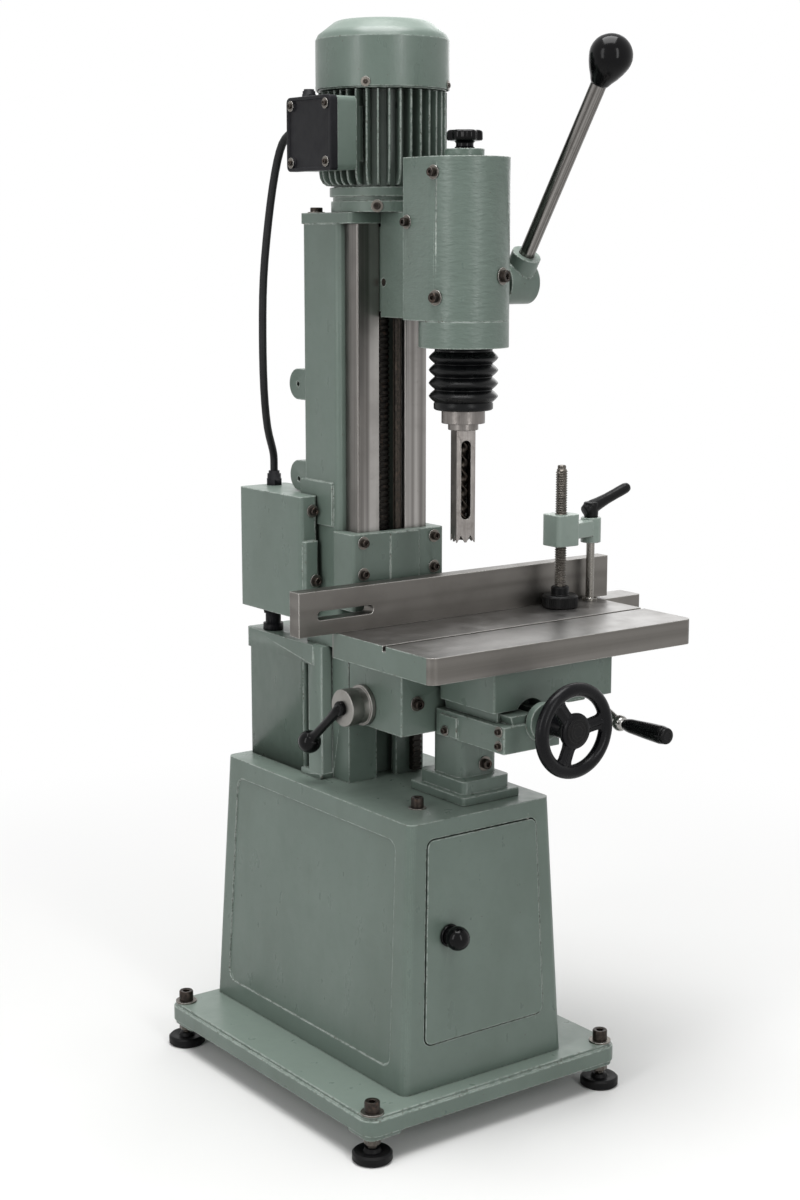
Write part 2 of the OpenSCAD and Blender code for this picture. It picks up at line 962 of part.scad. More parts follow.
module fan_cover() {
  wall = 2.5;
  r = cover_d / 2;
  shoulder = cover_h - 29;
  crown = 70;
  color(green)
    difference() {
      translate([0, motor_y, cover_z])
        rotate_extrude()
          polygon([[r - wall, -12], [r, -12], [r, shoulder], [r - 4, shoulder + 8],
            [crown + 5, cover_h - 2], [crown, cover_h], [26, cover_h], [26, cover_h - wall],
            [crown - 1, cover_h - wall], [crown + 3, cover_h - wall - 2],
            [r - wall - 3, shoulder + 6], [r - wall, shoulder - 1]]);
      for (i = [0:23])
        translate([0, motor_y, cover_z + cover_h - 6])
          rotate(i * 15)
            translate([36, -2, 0])
              cube([26, 4, 12]);
      cover_screw_places()
        screw_hole(5);
    }
  color(green)
    translate([0, motor_y, cover_z + cover_h - wall])
      cylinder(r = 28, h = wall + 0.5);
}

module lid_screw_places() {
  for (y = [term_y0 + 12, term_y1 - 12], z = [term_z0 + 12, term_z1 - 12])
    translate([term_x0 - term_lid_t, y, z])
      facing_left()
        children();
}

module terminal_box() {
  wall = 4;
  color(green)
    difference() {
      translate([0, (term_y0 + term_y1) / 2, (term_z0 + term_z1) / 2])
        rotate([0, -90, 0])
          translate([0, 0, -term_x0 - 36])
            linear_extrude(36)
              round_rect(term_z1 - term_z0, term_y1 - term_y0, 9);
      block(term_x0 - 1, term_y0 + wall, term_z0 + wall, term_x0 + 36 - wall, term_y1 - wall,
        term_z1 - wall);
      rod_x(term_x0, -50, (term_y0 + term_y1) / 2, (term_z0 + term_z1) / 2, 42);
      lid_screw_places()
        translate([0, 0, -12])
          screw_hole(5);
    }
}

module terminal_lid() {
  color(black)
    difference() {
      translate([0, (term_y0 + term_y1) / 2, (term_z0 + term_z1) / 2])
        rotate([0, -90, 0])
          translate([0, 0, -term_x0])
            linear_extrude(term_lid_t)
              round_rect(term_z1 - term_z0 + 2, term_y1 - term_y0 + 2, 10);
      block(term_x0 - 4, term_y0 + 22, term_z0 + 8, term_x0 + 1, term_y1 - 22, term_z1 - 8);
      lid_screw_places()
        screw_hole(5);
    }
}

// Cap screws of the fixed castings, lid and cover screws, and the door's hinge pins.
module fasteners() {
  color(dark) {
    block_screw_places()
      cap_screw();
    box_screw_places()
      cap_screw();
    column_screw_places()
      cap_screw(20, 7);
    foundation_places()
      rod_z(0, 0, -12, 12, 12);
    translate(cab_bolt)
      cap_screw(20, 16, 12);
    at_feet()
      levelling_stud();
    translate([0, motor_y, bell_z + 9])
      rotate(-42)
        translate([0, -81, 0])
          facing_front()
            cap_screw(11, 6);
    post_screw_place()
      cap_screw(16, 9);
    lid_screw_places()
      cap_screw(8, 3, 5);
    cover_screw_places()
      cap_screw(7, 2, 5);
  }
  color(steel)
    on_hinge()
      hinge_pin(0);
}

// ---- drive ----

module drive_shaft() {
  low = rail_z - 3 + fit;
  color(dark)
    translate([drive_x, drive_y, low]) {
      difference() {
        cylinder(d = drive_d, h = bell_z + 12 - low);
        for (i = [0:splines - 1])
          rotate(i * 360 / splines)
            translate([drive_d / 2, 0, 20])
              translate([-1, -1, 0])
                cube([2, 2, rail_top - low - 30]);
      }
      translate([0, 0, bell_z + 3 - low])
        gear(drive_gear_r, 8, drive_d - 2, drive_teeth);
    }
}

transfer_teeth = 20;
transfer_r = drive_d / 2 * transfer_teeth / splines;
transfer_x = 11;
transfer_y = drive_y - sqrt(pow(drive_d / 2 + fit + transfer_r, 2) - pow(drive_x - transfer_x, 2));
belt_z = head_z + 133;
belt_h = 12;
belt_t = 2;
belt_play = 0.2;
pulley_r = 14;
spin_pulley_r = 20;

module transfer_gear() {
  color(steel)
    translate([transfer_x, transfer_y, belt_z - 16]) {
      gear(transfer_r, 12, 8, transfer_teeth);
      cylinder(r = pulley_r, h = 16 + belt_h);
      cylinder(d = 10, h = 16 + belt_h + 14);
    }
}

module belt_line(grow) {
  hull() {
    translate([transfer_x, transfer_y])
      circle(pulley_r + grow, $fn = 32);
    translate([0, spin_y])
      circle(spin_pulley_r + grow, $fn = 32);
  }
}

module drive_belt() {
  color(black)
    translate([0, 0, belt_z + 1])
      linear_extrude(belt_h - 2)
        difference() {
          belt_line(belt_t + belt_play);
          belt_line(belt_play);
        }
}

// ---- head ----

// Outline of the head: a round front with two straight sides.
module head_outline(inset) {
  r = head_r - inset;
  translate([0, spin_y])
    circle(r);
  translate([-r, spin_y])
    square([2 * r, head_back - inset]);
}

neck_x0 = -rail_x + fit;
neck_x1 = 45;
neck_y1 = rail_front - 2 - fit;
neck_wall = 12;
top_seat = 184;                      // seat of the upper spindle bearing, over the head's foot
slide_back = rack_front - 2;

module head_screw_places() {
  translate([-head_r, spin_y + 52, head_z + 145])
    facing_left()
      children();
  for (p = [[-80, 216], [-76, 35], [50, 66]])
    translate([0, spin_y, head_z + p[1]])
      rotate(p[0])
        translate([0, -head_r, 0])
          facing_front()
            children();
}

module head_casting() {
  color(green)
    difference() {
      union() {
        translate([0, 0, head_z])
          linear_extrude(head_h)
            head_outline(0);
        rod_z(0, spin_y, head_top - 1, head_top + boss_h, boss_d);
        block(neck_x0, head_rear - 1, head_z, neck_x1, neck_y1, rail_top + 17);
        block(neck_x0, neck_y1 - 2, head_z + 9, -neck_x0, slide_back, rail_top - 5);
        block(neck_x0 - way_cut, col_y - 24 + fit, head_z + 9, way_cut - neck_x0, slide_back - 1.3,
          rail_top - 5);
      }
      translate([0, 0, head_z + 11])
        linear_extrude(174)
          head_outline(neck_wall);
      rod_z(0, spin_y, head_z + top_seat, head_z + top_seat + bearing_h + 2, bearing_d);
      rod_z(0, spin_y, head_z - 1, head_z + 230, spindle_d + 10);
      rod_z(0, spin_y, head_top - 8, head_top + boss_h + 1, 12 + 2 * slip);
      block(-17, head_rear - 14, head_z + 11, neck_x1 - 11, neck_y1 + 7, head_z + 149);
      rod_x(-10, 10, pinion_y, feed_z, 2 * pinion_r + 2);
      rod_x(neck_x0 - 1, neck_x1 + 1, idler_y, feed_z, 12 + 2 * slip);
      rod_x(neck_x0 - 1, neck_x1 + 1, pinion_y, feed_z, 12 + 2 * slip);
      rod_x(head_r - neck_wall - 1, head_r + 1, feed_y, feed_z, feed_shaft_d + 2 * slip);
      rod_z(drive_x, drive_y, head_z, rail_top, drive_d + 2 * fit);
      translate([0, 0, belt_z - 18])
        rod_z(transfer_x, transfer_y, 0, 16, 2 * transfer_r + 1);
      rod_z(transfer_x, transfer_y, belt_z, belt_z + 60, 10 + 2 * slip);
      head_screw_places()
        screw_hole();
    }
}

module nose_ring() {
  color(green)
    difference() {
      rod_z(0, spin_y, nose_z, head_z, 2 * head_r);
      rod_z(0, spin_y, nose_z - 1, head_z + 1, spindle_d + 10);
      rod_z(0, spin_y, nose_z + 10, nose_z + 12 + bearing_h, bearing_d);
      rod_z(0, spin_y, nose_z - 1, nose_z + 8, 52 + 2 * slip);
    }
}

module spindle_bearings() {
  color(steel)
    for (z = [nose_z + 10 + fit, head_z + top_seat + fit])
      ring_z(0, spin_y, z, z + bearing_h, bearing_d - 2 * slip, spindle_d + 2 * slip);
}

module head_screws() {
  color(dark)
    head_screw_places()
      cap_screw();
}

module spindle() {
  low = holder_z - 6;
  color(steel)
    difference() {
      union() {
        rod_z(0, spin_y, low, head_z + 216, spindle_d);
        rod_z(0, spin_y, belt_z, belt_z + belt_h, 2 * spin_pulley_r);
      }
      rod_z(0, spin_y, low - 1, low + 60, 12 + 2 * slip);
    }
}

auger_twist = 1440;

module auger_bit() {
  low = tip_z + 2;
  color(dark) {
    rod_z(0, spin_y, holder_z - 20, holder_z + 50, 12);
    translate([0, spin_y, low])
      linear_extrude(holder_z - 20 - low + 1, twist = -auger_twist, slices = 48, segments = 4)
        square([16, 5], center = true);
  }
}

module bellows() {
  steps = 8;
  neck = bellows_d / 2 - 7;
  wave = 3.5;
  count = bellows_folds * steps;
  color(black)
    translate([0, spin_y, holder_z])
      rotate_extrude()
        polygon(concat(
          [for (k = [0:count])
            [neck + wave - wave * cos(k * 360 / steps), 7 + (bellows_h - 14) * k / count]],
          [[neck - 1, bellows_h], [27, bellows_h], [27, 0], [neck - 1, 0]]));
}

module chisel_holder() {
  color(steel)
    difference() {
      union() {
        rod_z(0, spin_y, holder_z, nose_z + 8 - fit, 52);
        rod_z(0, spin_y, holder_z - 20, holder_z, 66);
        rod_z(0, spin_y, holder_z - 30, holder_z - 20, 46);
      }
      rod_z(0, spin_y, holder_z - 31, holder_z - 10, 22 + 2 * slip);
      rod_z(0, spin_y, holder_z - 8, nose_z + 9, spindle_d + 2);
      rod_z(0, spin_y, holder_z - 31, holder_z, 17);
    }
}

module chisel() {
  low = tip_z;
  high = holder_z - 30;
  w = chisel_w;
  bore = w * 0.6;
  slot = w / 2;
  color(steel)
    translate([0, spin_y, 0])
      rotate(chisel_turn)
        difference() {
          union() {
            translate([0, 0, low])
              linear_extrude(high - low)
                round_rect(w, w, 1);
            rod_z(0, 0, high - 1, high + 19, 22);
          }
          rod_z(0, 0, low - 1, high + 20, bore);
          for (a = [0, 90])
            translate([0, 0, low])
              rotate(a)
                for (x = [-w / 4, w / 4])
                  translate([x, w, 0])
                    rotate([90, 0, 0])
                      linear_extrude(2 * w)
                        polygon([[-w / 4 + 1, -1], [w / 4 - 1, -1], [0, 11]]);
          translate([0, 0, low + 43]) {
            block(-slot / 2, -w, 0, slot / 2, 0, 105);
            for (z = [0, 105])
              rod_y(0, -w, 0, z, slot);
          }
        }
}

module top_knob() {
  lobes = 7;
  r = 26;
  low = head_top + boss_h + fit;
  color(black) {
    rod_z(0, spin_y, head_top - 6, low + 2, 12);
    rod_z(0, spin_y, low, low + 12, 30);
    difference() {
      rod_z(0, spin_y, low + 11, low + 27, 2 * r);
      for (i = [0:lobes - 1])
        translate([0, spin_y, low])
          rotate(i * 360 / lobes)
            rod_z(r + 3, 0, 0, 40, 12);
    }
  }
}

// ---- feed lever and its gears ----

module feed_bracket() {
  color(green)
    difference() {
      union() {
        translate([head_r, 0, 0])
          rotate([90, 0, 90])
            linear_extrude(13)
              union() {
                translate([feed_y, feed_z])
                  circle(33);
                translate([feed_y - 6, feed_z - 28])
                  round_rect(44, 96, 9);
              }
        rod_x(head_r, 92, feed_y, feed_z, 54);
      }
      rod_x(head_r - 1, 93, feed_y, feed_z, feed_shaft_d + 2 * slip);
    }
}

module feed_shaft() {
  color(steel) {
    rod_x(gear_x - 1, lever_x + 22, feed_y, feed_z, feed_shaft_d);
    translate([gear_x, feed_y, feed_z])
      rotate([0, 90, 0])
        gear(feed_gear_r, 11, feed_shaft_d - 2, feed_teeth);
  }
}

// Local frame of the lever: +Z runs along the rod from the hub's middle.
module on_lever() {
  translate([lever_x, feed_y, feed_z])
    rotate([lever_lean, 0, 0])
      children();
}

module lever_hub() {
  color(green)
    difference() {
      union() {
        rod_x(92 + fit, lever_x + 24, feed_y, feed_z, 66);
        on_lever()
          cylinder(d = 46, h = 52);
      }
      rod_x(92, lever_x + 22 + slip, feed_y, feed_z, feed_shaft_d + 2 * slip);
      on_lever()
        translate([0, 0, 16])
          cylinder(d = lever_d + 2 * slip, h = 60);
    }
}

module lever_rod() {
  color(steel)
    on_lever()
      translate([0, 0, 17])
        cylinder(d = lever_d, h = lever_l - 30);
}

module lever_knob() {
  r = lever_knob_d / 2;
  low = -r * 1.15;
  color(black)
    on_lever()
      translate([0, 0, lever_l])
        difference() {
          rotate_extrude()
            polygon(concat([[0, low]],
              [for (a = [-60:10:90]) [(r + (a < 0 ? a / 12 : 0)) * cos(a), r * sin(a)]]));
          translate([0, 0, low - 1])
            cylinder(d = lever_d + 2 * slip, h = 17 + lever_l - 30 - lever_l - low + 1);
        }
}

module idler_gear() {
  color(steel)
    translate([0, idler_y, feed_z])
      rotate([0, 90, 0]) {
        translate([0, 0, neck_x0 + 1])
          cylinder(d = 12, h = neck_x1 - neck_x0 - 2);
        translate([0, 0, gear_x])
          gear(idler_r - fit, 11, 10, idler_teeth);
        translate([0, 0, -9])
          gear(idler_big_r - fit, 18, 10, idler_big_teeth);
      }
}

module rack_pinion() {
  color(steel)
    translate([0, pinion_y, feed_z])
      rotate([0, 90, 0]) {
        translate([0, 0, neck_x0 + 1])
          cylinder(d = 12, h = neck_x1 - neck_x0 - 2);
        translate([0, 0, -9])
          gear(pinion_r - fit, 18, 10, pinion_teeth);
      }
}

// ---- knee and cross slide ----

module knee_plinth() {
  color(green)
    difference() {
      union() {
        slab(post_x - plinth_w / 2, post_y - plinth_d / 2, cab_top, post_x + plinth_w / 2,
          post_y + plinth_d / 2, cab_top + 14, 5);
        slab(post_x - plinth_w / 2 + 10, post_y - plinth_d / 2 + 12, cab_top + 13,
          post_x + plinth_w / 2 - 10, post_y + plinth_d / 2 - 12, cab_top + plinth_h, 10);
        slab(post_x - sleeve_w / 2, post_y - sleeve_w / 2, cab_top, post_x + sleeve_w / 2,
          post_y + sleeve_w / 2, way_z - fit, 14);
      }
      slab(post_x - post_w / 2 - fit, post_y - post_w / 2 - fit, cab_top - 1,
        post_x + post_w / 2 + fit, post_y + post_w / 2 + fit, way_z + 1, 8);
      post_screw_place()
        screw_hole();
    }
}

module post_screw_place() {
  translate([post_x + 10, post_y - sleeve_w / 2, cab_top + plinth_h + 18])
    facing_front()
      children();
}

// The knee's square post; the clamp screw runs in its front groove.
module knee_post() {
  wall = 12;
  color(green)
    difference() {
      slab(post_x - post_w / 2, post_y - post_w / 2, cab_top - 80, post_x + post_w / 2,
        post_y + post_w / 2, way_z, 8);
      slab(post_x - post_w / 2 + wall, post_y - post_w / 2 + wall, cab_top - 81,
        post_x + post_w / 2 - wall, post_y + post_w / 2 - wall, way_z - 20, 4);
      block(post_x + 4, post_y - post_w / 2 - 1, cab_top - 81, post_x + 16,
        post_y - post_w / 2 + 7, way_z - 15);
    }
}

tee_top = knee_z + 72;

module knee_screw_place() {
  translate([-45, knee_front, knee_z + 50])
    facing_front()
      children();
}

module knee_block() {
  slot = 11;
  color(green)
    difference() {
      union() {
        slab(-knee_x, knee_front, knee_z, knee_x, knee_back, knee_z + knee_h, 3);
        block(-tee_x + fit, knee_back - 1, knee_z, tee_x - fit, guide_front + 20, tee_top);
        block(-tee_w + fit, guide_front + 14 + fit, knee_z, tee_w - fit,
          guide_front + tee_d - fit, tee_top);
      }
      rod_x(-knee_x - 1, knee_x + 1, lift_y, lift_z, 20 + 2 * slip);
      rod_x(lift_x - slot, lift_x + slot, lift_y, lift_z, 2 * lift_r + 2);
      block(lift_x - slot, lift_y, knee_z - 1, lift_x + slot, knee_back + 1, knee_z + knee_h + 1);
      knee_screw_place()
        screw_hole();
    }
}

module lift_lever() {
  drum_x = -knee_x - fit;
  ball_d = 38;
  lift_l = 106;
  color(steel) {
    rod_x(drum_x - 1, knee_x - 2, lift_y, lift_z, 20);
    rod_x(drum_x - 8, drum_x, lift_y, lift_z, 66);
    rod_x(drum_x - 20, drum_x - 7, lift_y, lift_z, 58);
    rod_x(drum_x - 43, drum_x - 19, lift_y, lift_z, 60);
    translate([lift_x - lift_w / 2, lift_y, lift_z])
      rotate([0, 90, 0])
        gear(lift_r - fit, lift_w, 18, pinion_teeth);
  }
  color(black)
    translate([drum_x - 43, lift_y, lift_z]) {
      rotate([0, -90, 0])
        cylinder(d = 24, h = 9);
      translate([-5, 0, 0])
        rotate([-131, 0, 0])
          rotate([0, -2, 0]) {
            cylinder(d1 = 17, d2 = 13, h = lift_l);
            translate([0, 0, lift_l])
              sphere(d = ball_d);
          }
    }
}

way_mid = way_x0 + way_w / 2;
tail_w = 70;

// A dovetail bar along +Y, narrow at its foot, grown all round by a clearance.
module dovetail(w, h, l, grow) {
  rotate([-90, 0, 0])
    mirror([0, 1, 0])
      linear_extrude(l)
        polygon([[-w / 2 - grow, -0.5], [w / 2 + grow, -0.5], [w / 2 + 5 + grow, h + grow],
          [-w / 2 - 5 - grow, h + grow]]);
}

// Screws in the way's left face: two by the front end, one in the gib plate.
module way_screw_places() {
  for (p = [[0, 12, 12], [0, 12, 34], [-4, 140, 11]])
    translate([way_x0 + p[0], way_front + p[1], way_z + p[2]])
      facing_left()
        children();
}

module cross_way() {
  flange_t = 12;
  color(green)
    difference() {
      union() {
        slab(way_x0, way_front, way_z, way_x0 + way_w, knee_front, way_z + way_h, 3);
        translate([way_mid, way_front + 4, way_z + way_h])
          dovetail(tail_w, tail_h, knee_front - way_front - 4, 0);
        slab(way_x0 - 4, way_front + 112, way_z + 3, way_x0 + 4, way_front + 155, way_z + 36, 1);
        rod_y(screw_x, way_front - flange_t, way_front + 1, screw_z, 60);
      }
      block(screw_x - 12, way_front + 12, way_z + 26, screw_x + 12, knee_front - 8,
        way_z + way_h + tail_h + 1);
      rod_y(screw_x, way_front - flange_t - 1, way_front + 14, screw_z, cross_screw_d + 2 * slip);
      rod_y(screw_x, knee_front - 10, knee_front + 1, screw_z, cross_screw_d + 2 * slip);
      way_screw_places()
        screw_hole(6);
    }
}

module knee_screws() {
  color(dark) {
    knee_screw_place()
      cap_screw(16, 9);
    way_screw_places()
      cap_screw(9, 5, 6);
  }
}

module saddle() {
  skirt_x = way_x0 + 12;
  nut_y = -215;
  color(green) {
    difference() {
      union() {
        slab(way_x0, sad_front, sad_floor, way_x0 + sad_w, sad_back, sad_top, 4);
        block(skirt_x, sad_front + 6, sad_bot, way_x0 + way_w - 4, sad_back,
          sad_floor + 1);
        block(way_x0, sad_back - 1, knee_z + knee_h + fit, way_x0 + sad_w, table_y + 248, sad_top);
        slab(lug_x[0], lug_y - 18, lug_z - 15, lug_x[1], lug_y + 18, sad_floor + 2, 4);
        translate([way_x0 + 2, rail_y, sad_top])
          rotate([0, 0, -90])
            dovetail(tail_w, 12, sad_w - 4, 0);
      }
      translate([way_mid, sad_front - 1, sad_bot])
        dovetail(tail_w, tail_h, sad_back - sad_front + 2, fit);
      rod_x(lug_x[0] - 1, lug_x[1] + 1, lug_y, lug_z, 12 + 2 * slip);
      rod_y(screw_x, sad_front - 1, sad_front + 37, screw_z, 62);
    }
    difference() {
      block(screw_x - 10, nut_y, screw_z - 14, screw_x + 10, nut_y + 30, sad_floor + 3);
      rod_y(screw_x, nut_y - 1, nut_y + 31, screw_z, cross_screw_d + 2 * slip);
    }
  }
}

module lock_lever() {
  arm_x = lug_x[1] + 8;
  elbow_y = -296;
  elbow_z = 614;
  color(steel) {
    rod_x(lug_x[0] - 4, arm_x, lug_y, lug_z, 12);
    rod_x(lug_x[1] + fit, arm_x + 8, lug_y, lug_z, 26);
    translate([arm_x, lug_y, lug_z])
      rotate([90 + atan((lug_z - elbow_z) / (lug_y - elbow_y)), 0, 0])
        cylinder(d = 14, h = norm([lug_y - elbow_y, lug_z - elbow_z]));
    rod_x(arm_x - 12, arm_x + 12, elbow_y, elbow_z, 26);
  }
  color(black)
    translate([arm_x, elbow_y - 4, elbow_z])
      rotate([90, 0, 0]) {
        cylinder(d = 14, h = 16);
        translate([0, 0, 13])
          cylinder(d1 = 20, d2 = 30, h = 84);
        translate([0, 0, 96])
          cylinder(d1 = 30, d2 = 22, h = 9);
      }
}

wheel_y = -386;
wheel_hub_y = way_front - 12 - fit;

module cross_screw() {
  color(steel)
    rod_y(screw_x, wheel_y - 4, knee_front - 2, screw_z, cross_screw_d);
}

module handwheel() {
  rim = 22;
  color(black)
    difference() {
      union() {
        translate([screw_x, wheel_y, screw_z])
          rotate([90, 0, 0])
            rotate_extrude()
              translate([wheel_d / 2 - rim / 2, 0])
                circle(d = rim);
        rod_y(screw_x, wheel_y - 10, wheel_hub_y, screw_z, 34);
        for (a = [0, 120, 240])
          translate([screw_x, wheel_y + 5, screw_z])
            rotate([0, a - 8, 0])
              translate([10, -5, -12])
                cube([wheel_d / 2 - rim / 2 - 8, 9, 24]);
      }
      rod_y(screw_x, wheel_y - 4.3, wheel_hub_y + 1, screw_z, cross_screw_d + 0.02);
    }
}

// ---- table and hold-down ----

module table() {
  r = 14;
  color(steel)
    difference() {
      union() {
        slab(table_x - table_w / 2, table_y, table_bot, table_x + table_w / 2,
          table_y + table_d, table_z, r);
        slab(table_x + table_w / 2 - 60, table_y + table_d - 30, table_bot + 12,
          table_x + table_w / 2 + 105, table_y + table_d + 22, table_z - 4, 6);
      }
      block(table_x - table_w, groove_y, table_z - 9, table_x + table_w, groove_y + groove_w,
        table_z + 1);
      translate([way_x0 + 2 - table_travel - 0.5, rail_y, table_bot])
        rotate([0, 0, -90])
          dovetail(tail_w, 12, 2 * table_w, fit);
      rod_z(stand_x, stand_y, table_bot - 1, table_z + 1, post_d + 2 * slip);
    }
}

module fence() {
  slot_z = table_z + 31;
  x0 = table_x - 20 - fence_l / 2;
  color(steel)
    difference() {
      block(x0, fence_y, table_z, x0 + fence_l, fence_y + fence_t, table_z + fence_h);
      block(x0 + 41, fence_y - 1, slot_z - 7, x0 + 133, fence_y + fence_t + 1, slot_z + 7);
      for (x = [41, 133])
        rod_y(x0 + x, fence_y - 1, fence_y + fence_t + 1, slot_z, 14);
    }
}

module clamp_post() {
  color(steel) {
    rod_z(stand_x, stand_y, table_bot + 4, arm_z + arm_h + 4, post_d);
    rod_z(stand_x, stand_y, table_z + 0.2, table_z + 5, 26);
  }
}

module clamp_arm() {
  reach = norm([stand_x - hold_x, stand_y - hold_y]);
  color(green)
    difference() {
      union() {
        translate([hold_x, hold_y, arm_z + 4])
          linear_extrude(arm_h)
            round_rect(48, 44, 8);
        translate([hold_x, hold_y, arm_z + 12])
          rotate(atan2(stand_y - hold_y, stand_x - hold_x))
            translate([0, -13, 0])
              cube([reach, 26, 26]);
        rod_z(stand_x, stand_y, arm_z, arm_z + 42, 34);
      }
      rod_z(stand_x, stand_y, arm_z - 1, arm_z + 60, post_d + 2 * slip);
      rod_z(hold_x, hold_y, arm_z, arm_z + 60, screw_d + 2 * slip);
    }
}

pad_t = 22;

module clamp_pad() {
  color(black)
    difference() {
      union() {
        rod_z(hold_x, hold_y, table_z + fit, table_z + pad_t, hold_pad_d);
        rod_z(hold_x, hold_y, table_z + pad_t - 1, table_z + pad_t + 14, 30);
      }
      rod_z(hold_x, hold_y, table_z + 8, table_z + pad_t + 15, 14 + 2 * slip);
    }
}

module clamp_screw() {
  low = table_z + pad_t + 14.3;
  color(steel) {
    rod_z(hold_x, hold_y, table_z + 8.3, low + 1, 14);
    rod_z(hold_x, hold_y, low, low + screw_l, screw_d);
    rod_z(hold_x, hold_y, low + screw_l - 1, low + screw_l + 6, screw_d - 6);
  }
}

module clamp_lever() {
  low = arm_z + 42 + fit;
  color(black)
    difference() {
      union() {
        rod_z(stand_x, stand_y, low, low + 26, 26);
        translate([stand_x, stand_y, low + 16])
          rotate(-6)
            rotate([0, 90 - 22, 0]) {
              cylinder(d1 = 18, d2 = 15, h = 76);
              translate([0, 0, 76])
                sphere(d = 17);
            }
      }
      rod_z(stand_x, stand_y, low - 1, low + 14, post_d + 2 * slip);
    }
}

base_plate();
foot_pads();
cabinet_shell();
cabinet_door();
door_latch();
pedestal();
column();
guide_rails();
feed_rack();
rail_clamp_block();
fasteners();
control_box();
cable_glands();
motor_cable();
motor_flange();
motor_frame();
stator();
fan_cover();
terminal_box();
terminal_lid();
rotor();
cooling_fan();
motor_bearings();
drive_shaft();
transfer_gear();
head_casting();
nose_ring();
feed_bracket();
head_screws();
spindle_bearings();
bellows();
chisel_holder();
chisel();
spindle();
auger_bit();
drive_belt();
feed_shaft();
lever_hub();
lever_rod();
lever_knob();
idler_gear();
rack_pinion();
top_knob();
knee_plinth();
knee_post();
knee_block();
cross_way();
knee_screws();
lift_lever();
saddle();
lock_lever();
cross_screw();
handwheel();
table();
fence();
clamp_post();
clamp_arm();
clamp_pad();
clamp_screw();
clamp_lever();
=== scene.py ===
import json
import math
from functools import partial

import bmesh
import bpy
from mathutils import Matrix, Vector

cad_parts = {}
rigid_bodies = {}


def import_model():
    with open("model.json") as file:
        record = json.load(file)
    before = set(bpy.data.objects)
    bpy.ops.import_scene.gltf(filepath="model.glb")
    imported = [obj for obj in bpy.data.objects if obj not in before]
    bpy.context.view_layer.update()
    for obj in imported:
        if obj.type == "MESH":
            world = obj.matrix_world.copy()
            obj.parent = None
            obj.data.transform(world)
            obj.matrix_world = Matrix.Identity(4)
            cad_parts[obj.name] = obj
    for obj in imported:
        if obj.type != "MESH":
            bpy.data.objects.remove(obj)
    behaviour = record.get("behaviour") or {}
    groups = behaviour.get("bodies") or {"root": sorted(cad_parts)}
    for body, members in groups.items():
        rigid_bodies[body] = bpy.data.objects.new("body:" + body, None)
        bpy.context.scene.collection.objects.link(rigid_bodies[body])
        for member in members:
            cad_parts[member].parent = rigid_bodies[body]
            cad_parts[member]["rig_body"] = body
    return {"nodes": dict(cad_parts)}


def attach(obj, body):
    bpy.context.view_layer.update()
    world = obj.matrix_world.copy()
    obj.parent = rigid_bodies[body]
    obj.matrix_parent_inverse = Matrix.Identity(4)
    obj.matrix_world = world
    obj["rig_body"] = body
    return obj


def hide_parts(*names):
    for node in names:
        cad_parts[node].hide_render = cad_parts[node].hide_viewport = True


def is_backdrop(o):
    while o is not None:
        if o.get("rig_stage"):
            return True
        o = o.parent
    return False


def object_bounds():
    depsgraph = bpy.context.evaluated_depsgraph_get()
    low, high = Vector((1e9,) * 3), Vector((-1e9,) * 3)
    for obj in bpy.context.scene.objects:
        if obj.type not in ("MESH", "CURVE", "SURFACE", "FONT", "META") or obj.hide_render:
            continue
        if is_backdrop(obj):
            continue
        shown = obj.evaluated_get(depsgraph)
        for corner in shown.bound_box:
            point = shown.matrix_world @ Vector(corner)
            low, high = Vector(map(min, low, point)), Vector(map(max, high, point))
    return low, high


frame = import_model()
cadBox = [list(corner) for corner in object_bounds()]
mm = 0.001
print("stage: frame loaded")

# Camera at the photograph's place, and the plain white stage round the machine.
cameraView = {"place": (-1839, -2529, 1364), "azimuth": -36.4, "pitch": 10.3, "lens": 58.8}


def makeCamera():
    data = bpy.data.cameras.new("camera")
    data.lens = cameraView["lens"]
    data.clip_end = 60
    camera = bpy.data.objects.new("camera", data)
    camera.location = Vector(cameraView["place"]) * mm
    camera.rotation_euler = (
        math.radians(90 - cameraView["pitch"]), 0, math.radians(cameraView["azimuth"]))
    bpy.context.scene.collection.objects.link(camera)
    bpy.context.scene.camera = camera


makeCamera()


def addNode(tree, kind, inputs=None, output=0, **settings):
    node = tree.nodes.new(kind)
    for key, value in settings.items():
        setattr(node, key, value)
    for key, value in (inputs or {}).items():
        if isinstance(value, bpy.types.NodeSocket):
            tree.links.new(value, node.inputs[key])
        else:
            isHex = isinstance(value, str) and value.startswith("#")
            node.inputs[key].default_value = colour(value) if isHex else value
    return node if output is None or not len(node.outputs) else node.outputs[output]


def colour(text):
    parts = [int(text[i:i + 2], 16) / 255 for i in (1, 3, 5)]
    return [p / 12.92 if p <= 0.04045 else ((p + 0.055) / 1.055) ** 2.4 for p in parts] + [1.0]


# ---- finishes ----


# Spreads a value between two levels, straight or eased.
def ramp(tree, value, low, high, start=0.0, end=1.0, kind="LINEAR"):
    return addNode(tree, "ShaderNodeMapRange", {
        "Value": value, "From Min": low, "From Max": high, "To Min": start, "To Max": end},
        interpolation_type=kind)


def times(tree, first, second):
    return addNode(tree, "ShaderNodeMath", {0: first, 1: second}, operation="MULTIPLY")


# How open a point is, from nought in a hollow to one, for walls so many millimetres off.
def openness(tree, reach):
    return addNode(tree, "ShaderNodeAmbientOcclusion", {"Distance": reach * mm}, "AO", samples=6)


